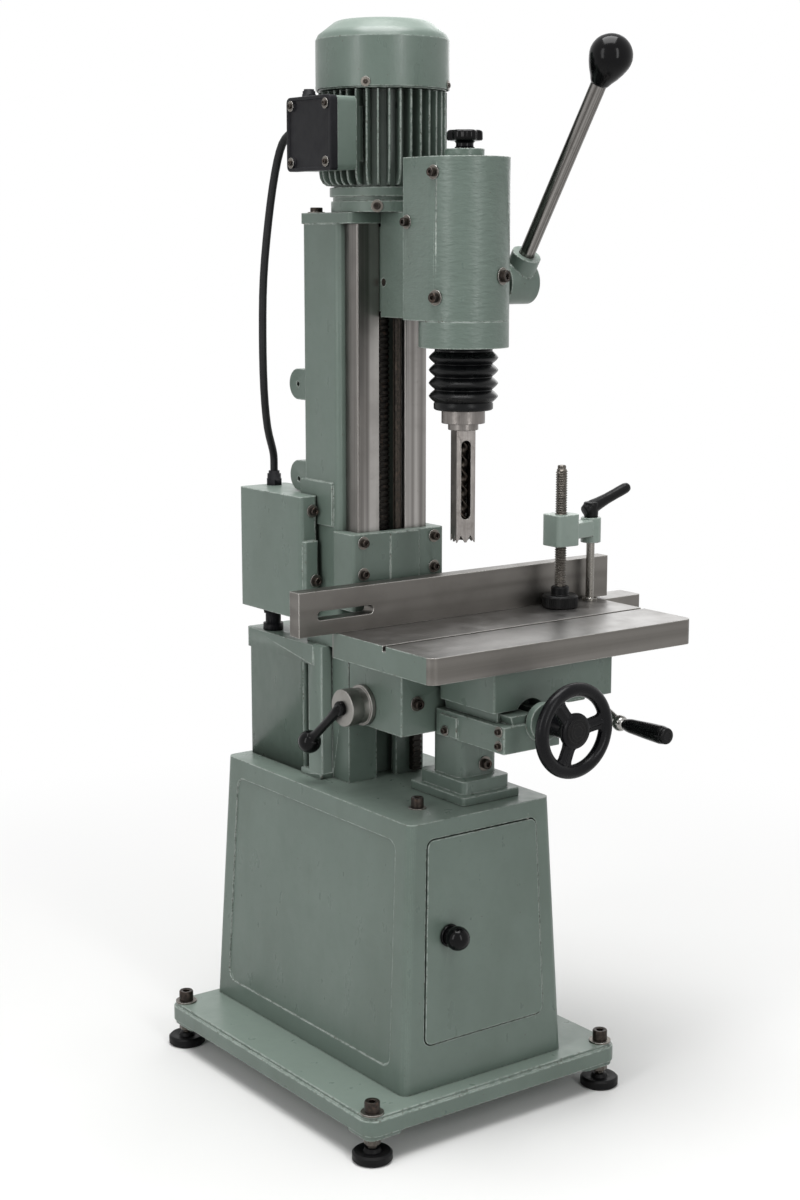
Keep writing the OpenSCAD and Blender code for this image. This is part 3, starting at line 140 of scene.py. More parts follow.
# A new material's parts: its shader, its patches on Object coordinates and its rounded normal.
def startFinish(name, edge, lean=0.0):
    material = bpy.data.materials.new(name)
    material.use_nodes = True
    tree = material.node_tree
    tree.nodes.clear()
    shader = tree.nodes.new("ShaderNodeBsdfPrincipled")
    addNode(tree, "ShaderNodeOutputMaterial", {"Surface": shader.outputs[0]})
    place = addNode(tree, "ShaderNodeTexCoord", output="Object")
    if lean:
        place = addNode(tree, "ShaderNodeMapping", {"Vector": place, "Rotation": (math.radians(lean), 0, 0)})
    rounded = addNode(tree, "ShaderNodeBevel", {"Radius": edge * mm}, samples=4)
    return material, tree, shader, partial(patches, tree, place), rounded


# Patches so many millimetres across (or three sizes, for a grain), faded between two levels.
def patches(tree, place, size, low=0.3, high=0.7, start=0.0, end=1.0, detail=3, rough=0.55):
    sizes = size if isinstance(size, tuple) else (size, size, size)
    spread = addNode(tree, "ShaderNodeMapping", {"Vector": place, "Scale": [1 / (s * mm) for s in sizes]})
    cloud = addNode(tree, "ShaderNodeTexNoise", {
        "Vector": spread, "Scale": 1.0, "Detail": detail, "Roughness": rough}, "Fac")
    return ramp(tree, cloud, low, high, start, end, "SMOOTHSTEP")


# Where a rounded normal leaves the plain one: nought on flats, one on a corner.
def onCorners(tree, rounded, low=0.02, high=0.14):
    plain = addNode(tree, "ShaderNodeNewGeometry", output="Normal")
    dot = addNode(tree, "ShaderNodeVectorMath", {0: rounded, 1: plain}, "Value", operation="DOT_PRODUCT")
    return ramp(tree, dot, 1 - low, 1 - high, kind="SMOOTHSTEP")


# Lays colours over one another, each through its own mask and strength.
def layered(tree, ground, layers):
    tone = ground
    for mask, strength, cover in layers:
        tone = addNode(tree, "ShaderNodeMix", {0: times(tree, mask, strength), 6: tone, 7: cover}, 2,
                       data_type="RGBA")
    return tone


# Wires up a finish: its colour, its roughness and its relief, laid over the rounded normal.
def finished(tree, shader, normal, tone, roughness, relief, metallic=0.0, shine=0.5):
    tree.links.new(tone, shader.inputs["Base Color"])
    tree.links.new(roughness, shader.inputs["Roughness"])
    shader.inputs["Metallic"].default_value = metallic
    shader.inputs["Specular IOR Level"].default_value = shine
    for height, strength, depth in relief:
        normal = addNode(tree, "ShaderNodeBump", {
            "Height": height, "Strength": abs(strength), "Distance": depth * mm, "Normal": normal},
            invert=strength < 0)
    tree.links.new(normal, shader.inputs["Normal"])


# The pale edge colour is worn paint and a painted edge highlight; the dust colour on upward faces is dust and
# painted top light; the dark colour is seam dirt and painted shade.
enamelLook = {
    "deep": "#556259", "base": "#5F6D65", "pale": "#67756D", "wornAndHighlight": "#C0C9C2", "grimeAndShade": "#262A24",
    "chip": "#4E4036", "dust": "#93A198", "roughness": 0.32, "shine": 0.42, "edge": 2.8,
}


# Machine enamel brushed on filled iron: satin and a little wavy, so that highlights wander. It is
# rubbed pale along the arrises, with a painted edge highlight, and chipped there to brown primer; it is paler
# on upward faces with dust and painted top light, and darker in the seams and where parts close in, with dirt
# and painted shade.
def machineEnamel(name, ripple, look=enamelLook):
    material, tree, shader, patchy, rounded = startFinish(name, look["edge"])
    # Pale lines along the arrises: worn paint and a painted edge highlight.
    wornAndHighlitEdges = times(tree, onCorners(tree, rounded, 0.008, 0.05),
                   patchy(11, 0.38, 0.54, 0.1, 1.0, detail=4, rough=0.75))
    chips = times(tree, onCorners(tree, rounded, 0.003, 0.02),
                  patchy(4.6, 0.61, 0.65, detail=2))
    # Upward faces are paler: dust, and a painted top light.
    facing = addNode(tree, "ShaderNodeSeparateXYZ", {
        0: addNode(tree, "ShaderNodeNewGeometry", output="Normal")}, 2)
    topDustAndLight = ramp(tree, facing, 0.6, 0.95)
    # Painted shade: occlusion over 60 mm darkens the enamel where parts close in.
    shade = ramp(tree, openness(tree, 60), 0.55, 0.1)
    specks = patchy(5.0, 0.775, 0.79, detail=1)
    # Dark in the seams and inner corners within 9 mm: seam dirt and painted shade.
    seamDirtAndShade = ramp(tree, openness(tree, 9), 0.7, 0.25)
    tone = layered(tree, look["base"], [
        (patchy(180, 0.35, 0.65, detail=3), 0.55, look["pale"]),
        (patchy((110, 110, 190), 0.45, 0.75, detail=3), 0.5, look["deep"]),
        (patchy(13, 0.45, 0.7, detail=4), 0.16, look["deep"]),
        (topDustAndLight, 0.5, look["dust"]), (shade, 0.6, look["grimeAndShade"]), (wornAndHighlitEdges, 0.85, look["wornAndHighlight"]),
        (chips, 0.9, look["chip"]), (specks, 0.55, look["chip"]), (seamDirtAndShade, 0.8, look["grimeAndShade"])])
    gloss = patchy((28, 28, 60), 0.3, 0.7, look["roughness"] - 0.05, look["roughness"] + 0.09, 5)
    finished(tree, shader, rounded, tone, gloss, [
        (patchy(48, 0.0, 1.0, detail=2), 0.3, 1.2),
        (patchy((15, 15, 5), 0.2, 0.8, detail=2, rough=0.5), ripple, 0.5),
        (patchy(2.4, 0.1, 0.9, detail=2), 0.3, 0.1), (chips, -0.6, 0.25)], shine=look["shine"])
    return material


# Ground iron and steel: fine lines along the travel of the wheel, faint oil, bright arrises, and broad pale
# bands that are painted reflections.
def groundSteel(name, long, low, high, roughness):
    material, tree, shader, patchy, rounded = startFinish(name, 1.6)
    wide = {"x": (260, 2.2, 2.2), "z": (2.2, 2.2, 320)}[long]
    fine = {"x": (60, 0.6, 0.6), "z": (0.6, 0.6, 70)}[long]
    # Broad pale bands along the grind: painted lamp reflections.
    reflectionBand = {"x": (900, 60, 24), "z": (15, 60, 1200)}[long]
    hair = patchy(fine, detail=2, rough=0.5)
    tone = layered(tree, low, [
        (patchy(reflectionBand, 0.36, 0.62, detail=1), 1.0, high),
        (patchy(wide, detail=2), 0.22, high),
        (patchy(70, 0.42, 0.72, detail=4), 0.3, "#5C5955"),
        (patchy(12, 0.6, 0.78, detail=4, rough=0.7), 0.3, "#57534E"),
        (onCorners(tree, rounded, 0.01, 0.1), 0.9, "#DAD8D3")])
    gloss = patchy(40, 0.3, 0.75, roughness - 0.04, roughness + 0.08, 4)
    finished(tree, shader, rounded, tone, gloss, [
        (hair, 0.22, 0.03), (patchy(40, 0, 1, detail=2), 0.12, 0.4)], 1.0)
    return material


# Steel turned, drawn or plated: bright, with faint tool marks and old oil.
def turnedSteel(name, base, stain, roughness, marks=(0.6, 0.6, 0.6), lean=0.0, share=0.35):
    material, tree, shader, patchy, rounded = startFinish(name, 0.9, lean)
    tone = layered(tree, base, [
        (patchy(17, 0.5, 0.78, detail=4, rough=0.6), 0.4, stain),
        (patchy(marks, detail=2), share, stain),
        (onCorners(tree, rounded, 0.02, 0.14), 0.8, "#D8D6D2")])
    gloss = patchy(14, 0.35, 0.75, roughness - 0.03, roughness + 0.1, 4)
    finished(tree, shader, rounded, tone, gloss, [(patchy(marks, detail=2), 0.2, 0.03)], 1.0)
    return material


# Steel blacked and oiled: brown-black, a little rust in patches, rubbed bright on its corners.
def oiledSteel(name, base, pale, rub, roughness, rust=0.25):
    material, tree, shader, patchy, rounded = startFinish(name, 0.6)
    tone = layered(tree, base, [
        (patchy(5, 0.35, 0.7, detail=4), 1.0, pale),
        (patchy(10, 0.56, 0.72, detail=4), rust, "#5B4232"),
        (onCorners(tree, rounded, 0.03, 0.18), 0.75, rub)])
    gloss = patchy(6, 0.3, 0.7, roughness - 0.08, roughness + 0.12)
    finished(tree, shader, rounded, tone, gloss, [(patchy(1.1, 0, 1, detail=2), 0.3, 0.05)], 0.8)
    return material


# Moulded plastics, black enamel and rubber: a gloss skin or a grain, a little dust, scuffed corners.
def blackSkin(name, base, dust, rub, roughness, texture, textureSize=1.3, shine=0.3):
    material, tree, shader, patchy, rounded = startFinish(name, 1.0)
    tone = layered(tree, base, [
        (patchy(26, 0.45, 0.8, detail=5, rough=0.65), 0.3, dust),
        (patchy(2.5, 0.73, 0.77, detail=1), 0.4, dust),
        (onCorners(tree, rounded, 0.03, 0.2), 0.35, rub)])
    gloss = patchy(18, 0.35, 0.8, roughness, roughness + 0.12, 4)
    finished(tree, shader, rounded, tone, gloss, [
        (patchy(textureSize, 0, 1, detail=2), texture, 0.12),
        (patchy(22, 0, 1, detail=2), 0.1, 0.3)], shine=shine)
    return material


enamel = machineEnamel("machine enamel", 0.15)
castEnamel = machineEnamel("machine enamel on rough iron", 1.0)
rubbedEnamel = machineEnamel("machine enamel, handled", 0.15, {
    **enamelLook, "deep": "#6F7C73", "base": "#84928A", "pale": "#97A39C"})
tableSteel = groundSteel("ground cast iron", "x", "#7C7A78", "#8B8987", 0.36)
# A darker copy of the ground iron for the table's sides and the fence: milled finish and painted shade.
shadedSideSteel = groundSteel("milled cast iron, darker as painted shade", "x", "#66635F", "#75726E", 0.4)
railSteel = groundSteel("ground way steel", "z", "#6A6764", "#A09D9A", 0.34)
brightSteel = turnedSteel("turned bright steel", "#85827D", "#5C5852", 0.27)
rodSteel = turnedSteel("drawn bar steel", "#8C8986", "#3F3C39", 0.22, (3.4, 3.4, 700), -33, 0.85)
drumSteel = turnedSteel("faced steel drum", "#8F8D89", "#77746F", 0.42, (0.6, 30, 30), share=0.2)
toolSteel = turnedSteel("hardened tool steel", "#7D7976", "#4A4541", 0.34, (1.2, 1.2, 30))
chromeSteel = turnedSteel("plated elbow", "#A5A4A1", "#6E6A65", 0.16)
screwSteel = oiledSteel("blacked screw steel", "#26211E", "#3A332E", "#8A8077", 0.4)
washerSteel = turnedSteel("plated washer", "#75716B", "#4A433C", 0.36)
rackSteel = oiledSteel("oily rack steel", "#1B1917", "#2D2A26", "#57514A", 0.4)
shaftSteel = oiledSteel("oily shaft steel", "#2C2825", "#47403A", "#857B70", 0.38)
threadSteel = oiledSteel("rolled screw thread", "#4F4B46", "#68635D", "#B5AFA6", 0.34, 0.12)
knobBlack = blackSkin("phenolic knob, polished", "#040405", "#121212", "#2A2A2A", 0.12, 0.03, shine=0.14)
lidBlack = blackSkin("nylon moulding, grained", "#17171A", "#27272A", "#55555A", 0.42, 0.5, shine=0.14)
gripBlack = blackSkin("phenolic grip", "#060607", "#151515", "#333333", 0.18, 0.06, shine=0.16)
wheelBlack = blackSkin("black enamel on iron", "#07070A", "#141416", "#5A5550", 0.24, 0.2, 3.0, 0.16)
castBlack = blackSkin("black powder coat on zinc", "#0A0A0B", "#1B1B1C", "#4A4744", 0.32, 0.35, shine=0.16)
bellowsRubber = blackSkin("moulded rubber", "#060708", "#121314", "#232426", 0.26, 0.1, shine=0.18)
footRubber = blackSkin("foot rubber", "#0C0C0D", "#1E1E1D", "#2E2E2E", 0.44, 0.3, shine=0.14)
cableSheath = blackSkin("cable sheath", "#1B1C1D", "#303132", "#3A3A3A", 0.4, 0.15, shine=0.2)
copperWire = turnedSteel("varnished copper", "#A5623A", "#6B3A20", 0.35)
print("stage: finishes")

# ---- places, lines and meshes ----


def moved(x, y, z):
    return Matrix.Translation((x * mm, y * mm, z * mm))


def turned(degrees, axis):
    return Matrix.Rotation(math.radians(degrees), 4, axis)


# Turns local +Z to a direction and moves it to a place in millimetres.
def standing(place, direction=(0, 0, 1), turn=0.0):
    aim = Vector(direction).to_track_quat("Z", "Y").to_matrix().to_4x4()
    return moved(*place) @ aim @ Matrix.Rotation(turn, 4, "Z")


# Local X and Y lie along the machine's Y and Z, and local Z along its X.
sideways = Matrix(((0, 0, 1, 0), (1, 0, 0, 0), (0, 1, 0, 0), (0, 0, 0, 1)))


# A line whose points may name a radius, as their third number, for their corner.
def roundedLine(points, steps=4):
    line = []
    for index, point in enumerate(points):
        radius = point[2] if len(point) > 2 else 0
        here = Vector(point[:2])
        if not radius or index in (0, len(points) - 1):
            line.append(here)
            continue
        before = Vector(points[index - 1][:2]) - here
        after = Vector(points[index + 1][:2]) - here
        half = before.angle(after) / 2
        reach = min(radius / math.tan(half), before.length * 0.49, after.length * 0.49)
        first, last = here + before.normalized() * reach, here + after.normalized() * reach
        for step in range(steps + 1):
            t = step / steps
            line.append(first * (1 - t) ** 2 + here * 2 * t * (1 - t) + last * t ** 2)
    return [tuple(point) for point in line]


# A ball's outline in steps of five degrees, from an angle over its middle up to its top.
def ballLine(ball, centre, start):
    turns = [math.radians(degrees) for degrees in range(start, 90, 5)]
    return [(ball * math.cos(turn), centre + ball * math.sin(turn)) for turn in turns] + [(0, centre + ball)]


def hexagon(width, turn=0.0):
    turns = [math.radians(60 * i) + turn for i in range(6)]
    return [(width / 2 * math.cos(corner), width / 2 * math.sin(corner)) for corner in turns]


# A ring of corners round local +Z; its reach is a radius, or a rule that gives one for each turn.
def ringOf(mesh, place, reach, height, sides):
    corners = []
    for i in range(sides):
        turn = i * math.tau / sides
        radius = (reach(turn) if callable(reach) else reach) * mm
        corners.append(mesh.verts.new(place @ Vector((
            radius * math.cos(turn), radius * math.sin(turn), height * mm))))
    return corners


# A ring of corners over a flat outline, drawn larger or smaller about a centre.
def outlineRing(mesh, outline, height, place, size=1.0, centre=(0, 0)):
    cx, cy = centre
    return [mesh.verts.new(place @ Vector((
        ((x - cx) * size + cx) * mm, ((y - cy) * size + cy) * mm, height * mm))) for x, y in outline]


# Joins rings of corners with faces. A ring of one corner is a pole; end rings are filled, or looped.
def skinned(mesh, rings, looped=False):
    sides = max(len(ring) for ring in rings)
    for low, high in zip(rings, rings[1:] + (rings[:1] if looped else [])):
        for i in range(sides):
            j = (i + 1) % sides
            corners = [low[i % len(low)], low[j % len(low)], high[j % len(high)], high[i % len(high)]]
            unique = list(dict.fromkeys(corners))
            if len(unique) > 2:
                mesh.faces.new(unique)
    for ring in () if looped else (rings[0][::-1], rings[-1]):
        if len(ring) > 1:
            mesh.faces.new(ring)


# Spins a line of (radius, height) pairs, in millimetres, round +Z; ends on the axis are closed.
def spun(mesh, line, place=Matrix(), sides=64, looped=False):
    skinned(mesh, [ringOf(mesh, place, radius, height, sides if radius > 1e-6 else 1)
                   for radius, height in line], looped)


# A prism over a flat outline in millimetres, from one height to another along local +Z.
def prism(mesh, outline, low, high, place=Matrix(), shrink=1.0):
    skinned(mesh, [outlineRing(mesh, outline, low, place), outlineRing(mesh, outline, high, place, shrink)])


def meshData(name, mesh):
    data = bpy.data.meshes.new(name)
    mesh.to_mesh(data)
    mesh.free()
    for face in data.polygons:
        face.use_smooth = True
    return data


def coated(data, material):
    data.materials.clear()
    data.materials.append(material)
    for face in data.polygons:
        face.material_index = 0


def placed(name, data):
    item = bpy.data.objects.new(name, data)
    bpy.context.scene.collection.objects.link(item)
    return item


# The mesh that an object's modifiers give; the object itself is taken away.
def baked(item):
    bpy.context.view_layer.update()
    ready = item.evaluated_get(bpy.context.evaluated_depsgraph_get())
    data = bpy.data.meshes.new_from_object(ready)
    bpy.data.objects.remove(item)
    return data


def adopt(piece, body, replaced=()):
    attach(piece, body)
    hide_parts(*replaced)
    return piece


def showPiece(name, mesh, material, body, replaced=(), angle=35, bevel=0):
    bmesh.ops.recalc_face_normals(mesh, faces=mesh.faces)
    data = meshData(name, mesh)
    data.set_sharp_from_angle(angle=math.radians(angle))
    data.materials.append(material)
    piece = placed(name, data)
    if bevel:
        roundEdges(piece, bevel)
    return adopt(piece, body, replaced)


def roundEdges(piece, width, angle=32):
    edges = piece.modifiers.new("rounded edges", "BEVEL")
    edges.width = width * mm
    edges.segments = 2
    edges.limit_method = "ANGLE"
    edges.angle_limit = math.radians(angle)
    edges.use_clamp_overlap = False
    edges.harden_normals = True
    edges.miter_outer = "MITER_ARC"


# A casting's own solid, merged, with its arrises rounded as filing and paint leave them. Faces that
# a side's rule picks get that side's material; a width of nought leaves the edges sharp.
def dressed(node, material, width, sides=(), angle=32):
    source = frame["nodes"][node]
    mesh = bmesh.new()
    mesh.from_mesh(source.data)
    bmesh.ops.remove_doubles(mesh, verts=mesh.verts, dist=0.004 * mm)
    if width:
        bmesh.ops.dissolve_limit(mesh, angle_limit=math.radians(0.5), verts=mesh.verts, edges=mesh.edges)
    data = meshData(node + "_finish", mesh)
    coated(data, material)
    for index, (picks, coat) in enumerate(sides):
        data.materials.append(coat)
        for face in data.polygons:
            if picks(face):
                face.material_index = index + 1
    data.set_sharp_from_angle(angle=math.radians(angle))
    piece = placed(node + "_finish", data)
    if width:
        roundEdges(piece, width, angle)
    return adopt(piece, source["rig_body"], [node])


# ---- the motor cable ----

motorCable = {
    "points": [
        (-106, 88, 1536), (-106, 106, 1536), (-107, 133, 1519), (-109, 152, 1475), (-111, 170, 1400),
        (-112, 185, 1310), (-110, 193, 1220), (-103, 202, 1130), (-85, 221, 1065), (-66, 235, 1024),
        (-62, 238, 1007), (-62, 238, 989)],
    "steps": 3, "diameter": 13,
}


# A smooth curve through the cable's points, straight at both ends.
def throughPoints(points, steps):
    line = []
    for i in range(len(points) - 1):
        a, b = Vector(points[max(i - 1, 0)]), Vector(points[i])
        c, d = Vector(points[i + 1]), Vector(points[min(i + 2, len(points) - 1)])
        for step in range(steps):
            t = step / steps
            if i in (0, len(points) - 2):
                line.append(b.lerp(c, t))
            else:
                line.append(0.5 * (2 * b + (c - a) * t + (2 * a - 5 * b + 4 * c - d) * t * t
                                   + (3 * b - a - 3 * c + d) * t ** 3))
    return line + [Vector(points[-1])]


def makeCable():
    line = [p * mm for p in throughPoints(motorCable["points"], motorCable["steps"])]
    data = bpy.data.curves.new("motor_cable_run", "CURVE")
    data.dimensions = "3D"
    data.bevel_depth = motorCable["diameter"] / 2 * mm
    data.bevel_resolution = 6
    data.use_fill_caps = True
    spline = data.splines.new("POLY")
    spline.points.add(len(line) - 1)
    for point, place in zip(spline.points, line):
        point.co = (*place, 1)
    spline.use_smooth = True
    data.materials.append(cableSheath)
    cable = placed("motor_cable_run", data)
    adopt(cable, "frame", ["motor_cable"])


makeCable()
print("stage: cable")

# ---- castings that keep their CAD form, with filed and painted arrises ----

ownFinish = {"head_casting": castEnamel, "nose_ring": castEnamel, "clamp_arm": rubbedEnamel}
for node, width in {
    "base_plate": 1.2, "cabinet_shell": 0, "pedestal": 0, "column": 0.8, "rail_clamp_block": 0.5,
    "control_box": 0.8, "knee_plinth": 1.2, "knee_post": 1.0, "knee_block": 1.2, "cross_way": 0.8,
    "saddle": 0.5, "head_casting": 0.5, "nose_ring": 0.8, "feed_bracket": 1.6, "lever_hub": 0.8,
    "motor_flange": 0.8, "terminal_box": 0.5, "clamp_arm": 1.0,
}.items():
    dressed(node, ownFinish.get(node, enamel), width, angle=12 if node == "cabinet_shell" else 32)
dressed("cabinet_door", enamel, 0.5)
dressed("fan_cover", enamel, 0, angle=12)
dressed("cable_glands", lidBlack, 0)
dressed("guide_rails", railSteel, 0.8)
# The table's sides take the darker copy, as painted shade; its left end is green enamel.
dressed("table", tableSteel, 0.7, [
    (lambda face: abs(face.normal.z) < 0.5, shadedSideSteel),
    (lambda face: face.normal.x < -0.995 and face.center.x < -0.14, enamel)])
dressed("fence", shadedSideSteel, 0.7)
dressed("chisel", toolSteel, 0.3)
dressed("chisel_holder", toolSteel, 0.8)
for node, material in {
    "feed_rack": rackSteel, "drive_shaft": shaftSteel, "transfer_gear": shaftSteel,
    "spindle": brightSteel, "feed_shaft": brightSteel, "idler_gear": shaftSteel,
    "rack_pinion": shaftSteel, "cross_screw": brightSteel, "rotor": brightSteel, "stator": copperWire,
    "motor_bearings": brightSteel, "spindle_bearings": brightSteel, "cooling_fan": lidBlack,
    "drive_belt": bellowsRubber, "clamp_post": brightSteel,
}.items():
    coated(frame["nodes"][node].data, material)
print("stage: castings")

# ---- geometry node trees ----


def makeTree(name, sockets):
    tree = bpy.data.node_groups.new(name, "GeometryNodeTree")
    tree.interface.new_socket("Geometry", in_out="INPUT", socket_type="NodeSocketGeometry")
    for label, kind, value in sockets:
        socket = tree.interface.new_socket(label, in_out="INPUT", socket_type="NodeSocket" + kind)
        if value is not None:
            socket.default_value = value
    tree.interface.new_socket("Geometry", in_out="OUTPUT", socket_type="NodeSocketGeometry")
    return tree, addNode(tree, "NodeGroupInput", output=None)


def endTree(tree, given, shape):
    solid = addNode(tree, "GeometryNodeRealizeInstances", {"Geometry": shape})
    finished = addNode(tree, "GeometryNodeSetMaterial", {
        "Geometry": solid, "Material": given.outputs["Material"]})
    addNode(tree, "NodeGroupOutput", {"Geometry": finished})


# Runs a tree on a mesh and keeps its result as plain mesh on a body.
def grown(name, start, tree, values, body, replaced=(), angle=35):
    seed = placed(name + "_seed", start)
    nodes = seed.modifiers.new("nodes", "NODES")
    nodes.node_group = tree
    names = {s.name: s.identifier for s in tree.interface.items_tree
             if s.item_type == "SOCKET" and s.in_out == "INPUT"}
    for label, value in values.items():
        nodes[names[label]] = value
    data = baked(seed)
    data.name = name
    data.set_sharp_from_angle(angle=math.radians(angle))
    return adopt(placed(name, data), body, replaced)


# Points that carry a turn and a size, for shapes to stand on.
def placesMesh(name, places):
    data = bpy.data.meshes.new(name)
    data.from_pydata([Matrix(p[0]).translation for p in places], [], [])
    turn = data.attributes.new("turn", "FLOAT_VECTOR", "POINT")
    size = data.attributes.new("size", "FLOAT_VECTOR", "POINT")
    for index, (matrix, scale) in enumerate(places):
        turn.data[index].vector = matrix.to_euler()
        size.data[index].vector = scale
    return data


def makeStandTree():
    tree, given = makeTree("shapes on places", [("Shape", "Object", None), ("Material", "Material", None)])
    shape = addNode(tree, "GeometryNodeObjectInfo", {"Object": given.outputs["Shape"]}, "Geometry")
    turn = addNode(tree, "GeometryNodeInputNamedAttribute", {"Name": "turn"}, data_type="FLOAT_VECTOR")
    size = addNode(tree, "GeometryNodeInputNamedAttribute", {"Name": "size"}, data_type="FLOAT_VECTOR")
    endTree(tree, given, addNode(tree, "GeometryNodeInstanceOnPoints", {
        "Points": given.outputs["Geometry"], "Instance": shape, "Rotation": turn, "Scale": size}))
    return tree


standTree = makeStandTree()


# One shape drawn once, kept out of the scene, for the trees to repeat.
def patternShape(name, mesh):
    bmesh.ops.recalc_face_normals(mesh, faces=mesh.faces)
    return bpy.data.objects.new(name, meshData(name, mesh))


# A socket cap head a metre across and high, for its places to scale, with its hexagon socket open.
def capHead():
    mesh = bmesh.new()

    def socket(turn):
        return 270 * math.cos(math.pi / 6) / math.cos((turn % (math.pi / 3)) - math.pi / 6)

    skinned(mesh, [ringOf(mesh, Matrix(), reach, height, 24) for reach, height in (
        (500, 0), (500, 900), (455, 1000), (330, 1000), (socket, 940), (socket, 450))])
    return patternShape("cap_head_pattern", mesh)


# A round bar a metre across and high, with both its edges chamfered.
def roundBar(name, chamfer):
    mesh = bmesh.new()
    spun(mesh, [(0, 0), (500 - chamfer, 0), (500, chamfer), (500, 1000 - chamfer), (500 - chamfer, 1000),
                (0, 1000)], sides=24)
    return patternShape(name, mesh)


capPattern = capHead()
washerPattern = roundBar("washer_pattern", 30)
shankPattern = roundBar("shank_pattern", 40)


# ---- screws, washers and levelling studs ----

lidScrews = [(y, z) for y in (-38, 56) for z in (1486, 1571)]

# Each screw is its seat, the way its head points, its head's width and height and its shank's width.
# A ringed one stands on a body's round wall: the wall's middle, its radius and a turn come first.
screwMakes = {
    "washerOver": 8, "washer": 1.5, "shankIn": 14, "shankOver": 0.5,
    "frame": [
        ((x, -32, z), (0, -1, 0), 13, 8, 8) for x in (-70, 70) for z in (849, 899)] + [
        ((-97, 72, 941), (0, -1, 0), 13, 8, 8), ((-96, 65, 828), (0, -1, 0), 13, 8, 8),
        ((-68, 96, 1412), (0, 0, 1), 20, 7, 8), ((-70, -175, 500), (0, 0, 1), 20, 16, 12),
        ((57, -183, 553), (0, -1, 0), 16, 9, 8)] + [((-141, y, z), (-1, 0, 0), 8, 3, 5) for y, z in lidScrews],
    "head": [((-68, -144, 1396), (-1, 0, 0), 13, 8, 8)],
    "knee": [
        ((-45, -140, 656), (0, -1, 0), 16, 9, 8), ((-8, -298, 615), (-1, 0, 0), 9, 5, 6),
        ((-8, -298, 637), (-1, 0, 0), 9, 5, 6), ((-12, -170, 614), (-1, 0, 0), 9, 5, 6)],
    "ringed": [
        ("frame", (0, 11, 1421), 81, -42, 11, 6, 8), ("head", (0, -196, 1467), 68, -80, 13, 8, 8),
        ("head", (0, -196, 1286), 68, -76, 15, 8, 8), ("head", (0, -196, 1317), 68, 18, 18, 8, 8)] + [
        ("frame", (0, 11, 1604), 104, turn, 7, 2, 5) for turn in (-50, 40, 130, 220)],
    "feet": [(x, y) for x in (-230, 230) for y in (-276, 276)],
    "footHead": {"low": 78, "across": 24, "height": 17}, "footWasher": {"low": 75, "across": 36, "height": 3},
}
for body, centre, reach, turn, *sizes in screwMakes["ringed"]:
    way = turned(turn, "Z") @ Vector((0, -1, 0))
    screwMakes[body].append((tuple(Vector(centre) + reach * way), tuple(way), *sizes))


def makeScrews(body, node):
    look = screwMakes
    heads, washers, shanks = [], [], []

    def add(places, stand, across, height):
        places.append((stand, (across * mm, across * mm, height * mm)))

    for index, (place, way, across, height, shank) in enumerate(look[body]):
        stand = standing(place, way, turn=0.7 * index)
        add(heads, stand @ moved(0, 0, look["washer"]), across, height)
        add(washers, stand, across + look["washerOver"], look["washer"])
        add(shanks, stand @ moved(0, 0, -look["shankIn"]), shank, look["shankIn"] + look["shankOver"])
    if body == "frame":
        head, washer = look["footHead"], look["footWasher"]
        for index, (x, y) in enumerate(look["feet"]):
            add(heads, standing((x, y, head["low"]), turn=1.1 * index), head["across"], head["height"])
            add(washers, standing((x, y, washer["low"])), washer["across"], washer["height"])
    for name, pattern, places, material in (
            ("heads", capPattern, heads, screwSteel), ("washers", washerPattern, washers, washerSteel),
            ("shanks", shankPattern, shanks, shaftSteel)):
        grown(node + "_" + name, placesMesh(node + name, places), standTree,
              {"Shape": pattern, "Material": material}, body, [node])


makeScrews("frame", "fasteners")
makeScrews("head", "head_screws")
makeScrews("knee", "knee_screws")

# Levelling studs under the base: a rolled thread, drawn as one turn's outline repeated, and a lock nut.
studLook = {
    "radius": 7, "low": 5, "high": 75, "pitch": 2.5, "turn": ((-1.1, 0.3), (0, 1.3), (-1.1, 2.2)),
    "nut": 26, "nutLow": 26, "nutHigh": 37,
}

# The cabinet's front leans back: local X and Y lie in it from its foot up, and local Z points out of it.
frontWall = moved(0, -262, 75) @ turned(90 - 1.752, "X")
hingePins = {"foot": (104, 73, -2.5), "lean": 1.95, "ups": (-9, 315), "radius": 2.5, "length": 17}


def makeStuds():
    mesh = bmesh.new()
    for x, y in screwMakes["feet"]:
        z = studLook["low"]
        line = [(0, z)]
        while z < studLook["high"] - studLook["pitch"]:
            line += [(studLook["radius"] + over, z + up) for over, up in studLook["turn"]]
            z += studLook["pitch"]
        spun(mesh, line + [(0, z)], standing((x, y, 0)), 20)
        prism(mesh, hexagon(studLook["nut"]), studLook["nutLow"], studLook["nutHigh"],
              standing((x, y, 0), turn=0.4))
    showPiece("levelling_studs", mesh, threadSteel, "frame", ["fasteners"], bevel=0.6)
    pins = bmesh.new()
    hinge = frontWall @ moved(*hingePins["foot"]) @ turned(hingePins["lean"], "Z")
    r, long = hingePins["radius"], hingePins["length"]
    for up in hingePins["ups"]:
        spun(pins, [(0, 0), (r - 0.4, 0), (r, 0.6), (r, long - 0.6), (r - 0.4, long), (0, long)],
             hinge @ moved(0, up, 0) @ turned(-90, "X"), 20)
    showPiece("hinge_pins", pins, brightSteel, "frame", ["fasteners"])


makeStuds()

padLook = {"radius": 31, "height": 16}


# Rubber pads: a chamfered rim, a dished top and a raised socket for the stud.
def makePads():
    mesh = bmesh.new()
    r, h = padLook["radius"], padLook["height"]
    line = [(0, 0), (r - 3, 0), (r, 3.2), (r, h - 3), (r - 3, h), (20, h), (17, h - 1.2), (14, h - 1),
            (13, h + 1), (11.5, h + 4.6), (7.4, h + 4.8), (7.2, 6), (0, 6)]
    for x, y in screwMakes["feet"]:
        spun(mesh, line, standing((x, y, 0)), 96)
    showPiece("rubber_pads", mesh, footRubber, "frame", ["foot_pads"], angle=40)


makePads()
print("stage: screws and feet")

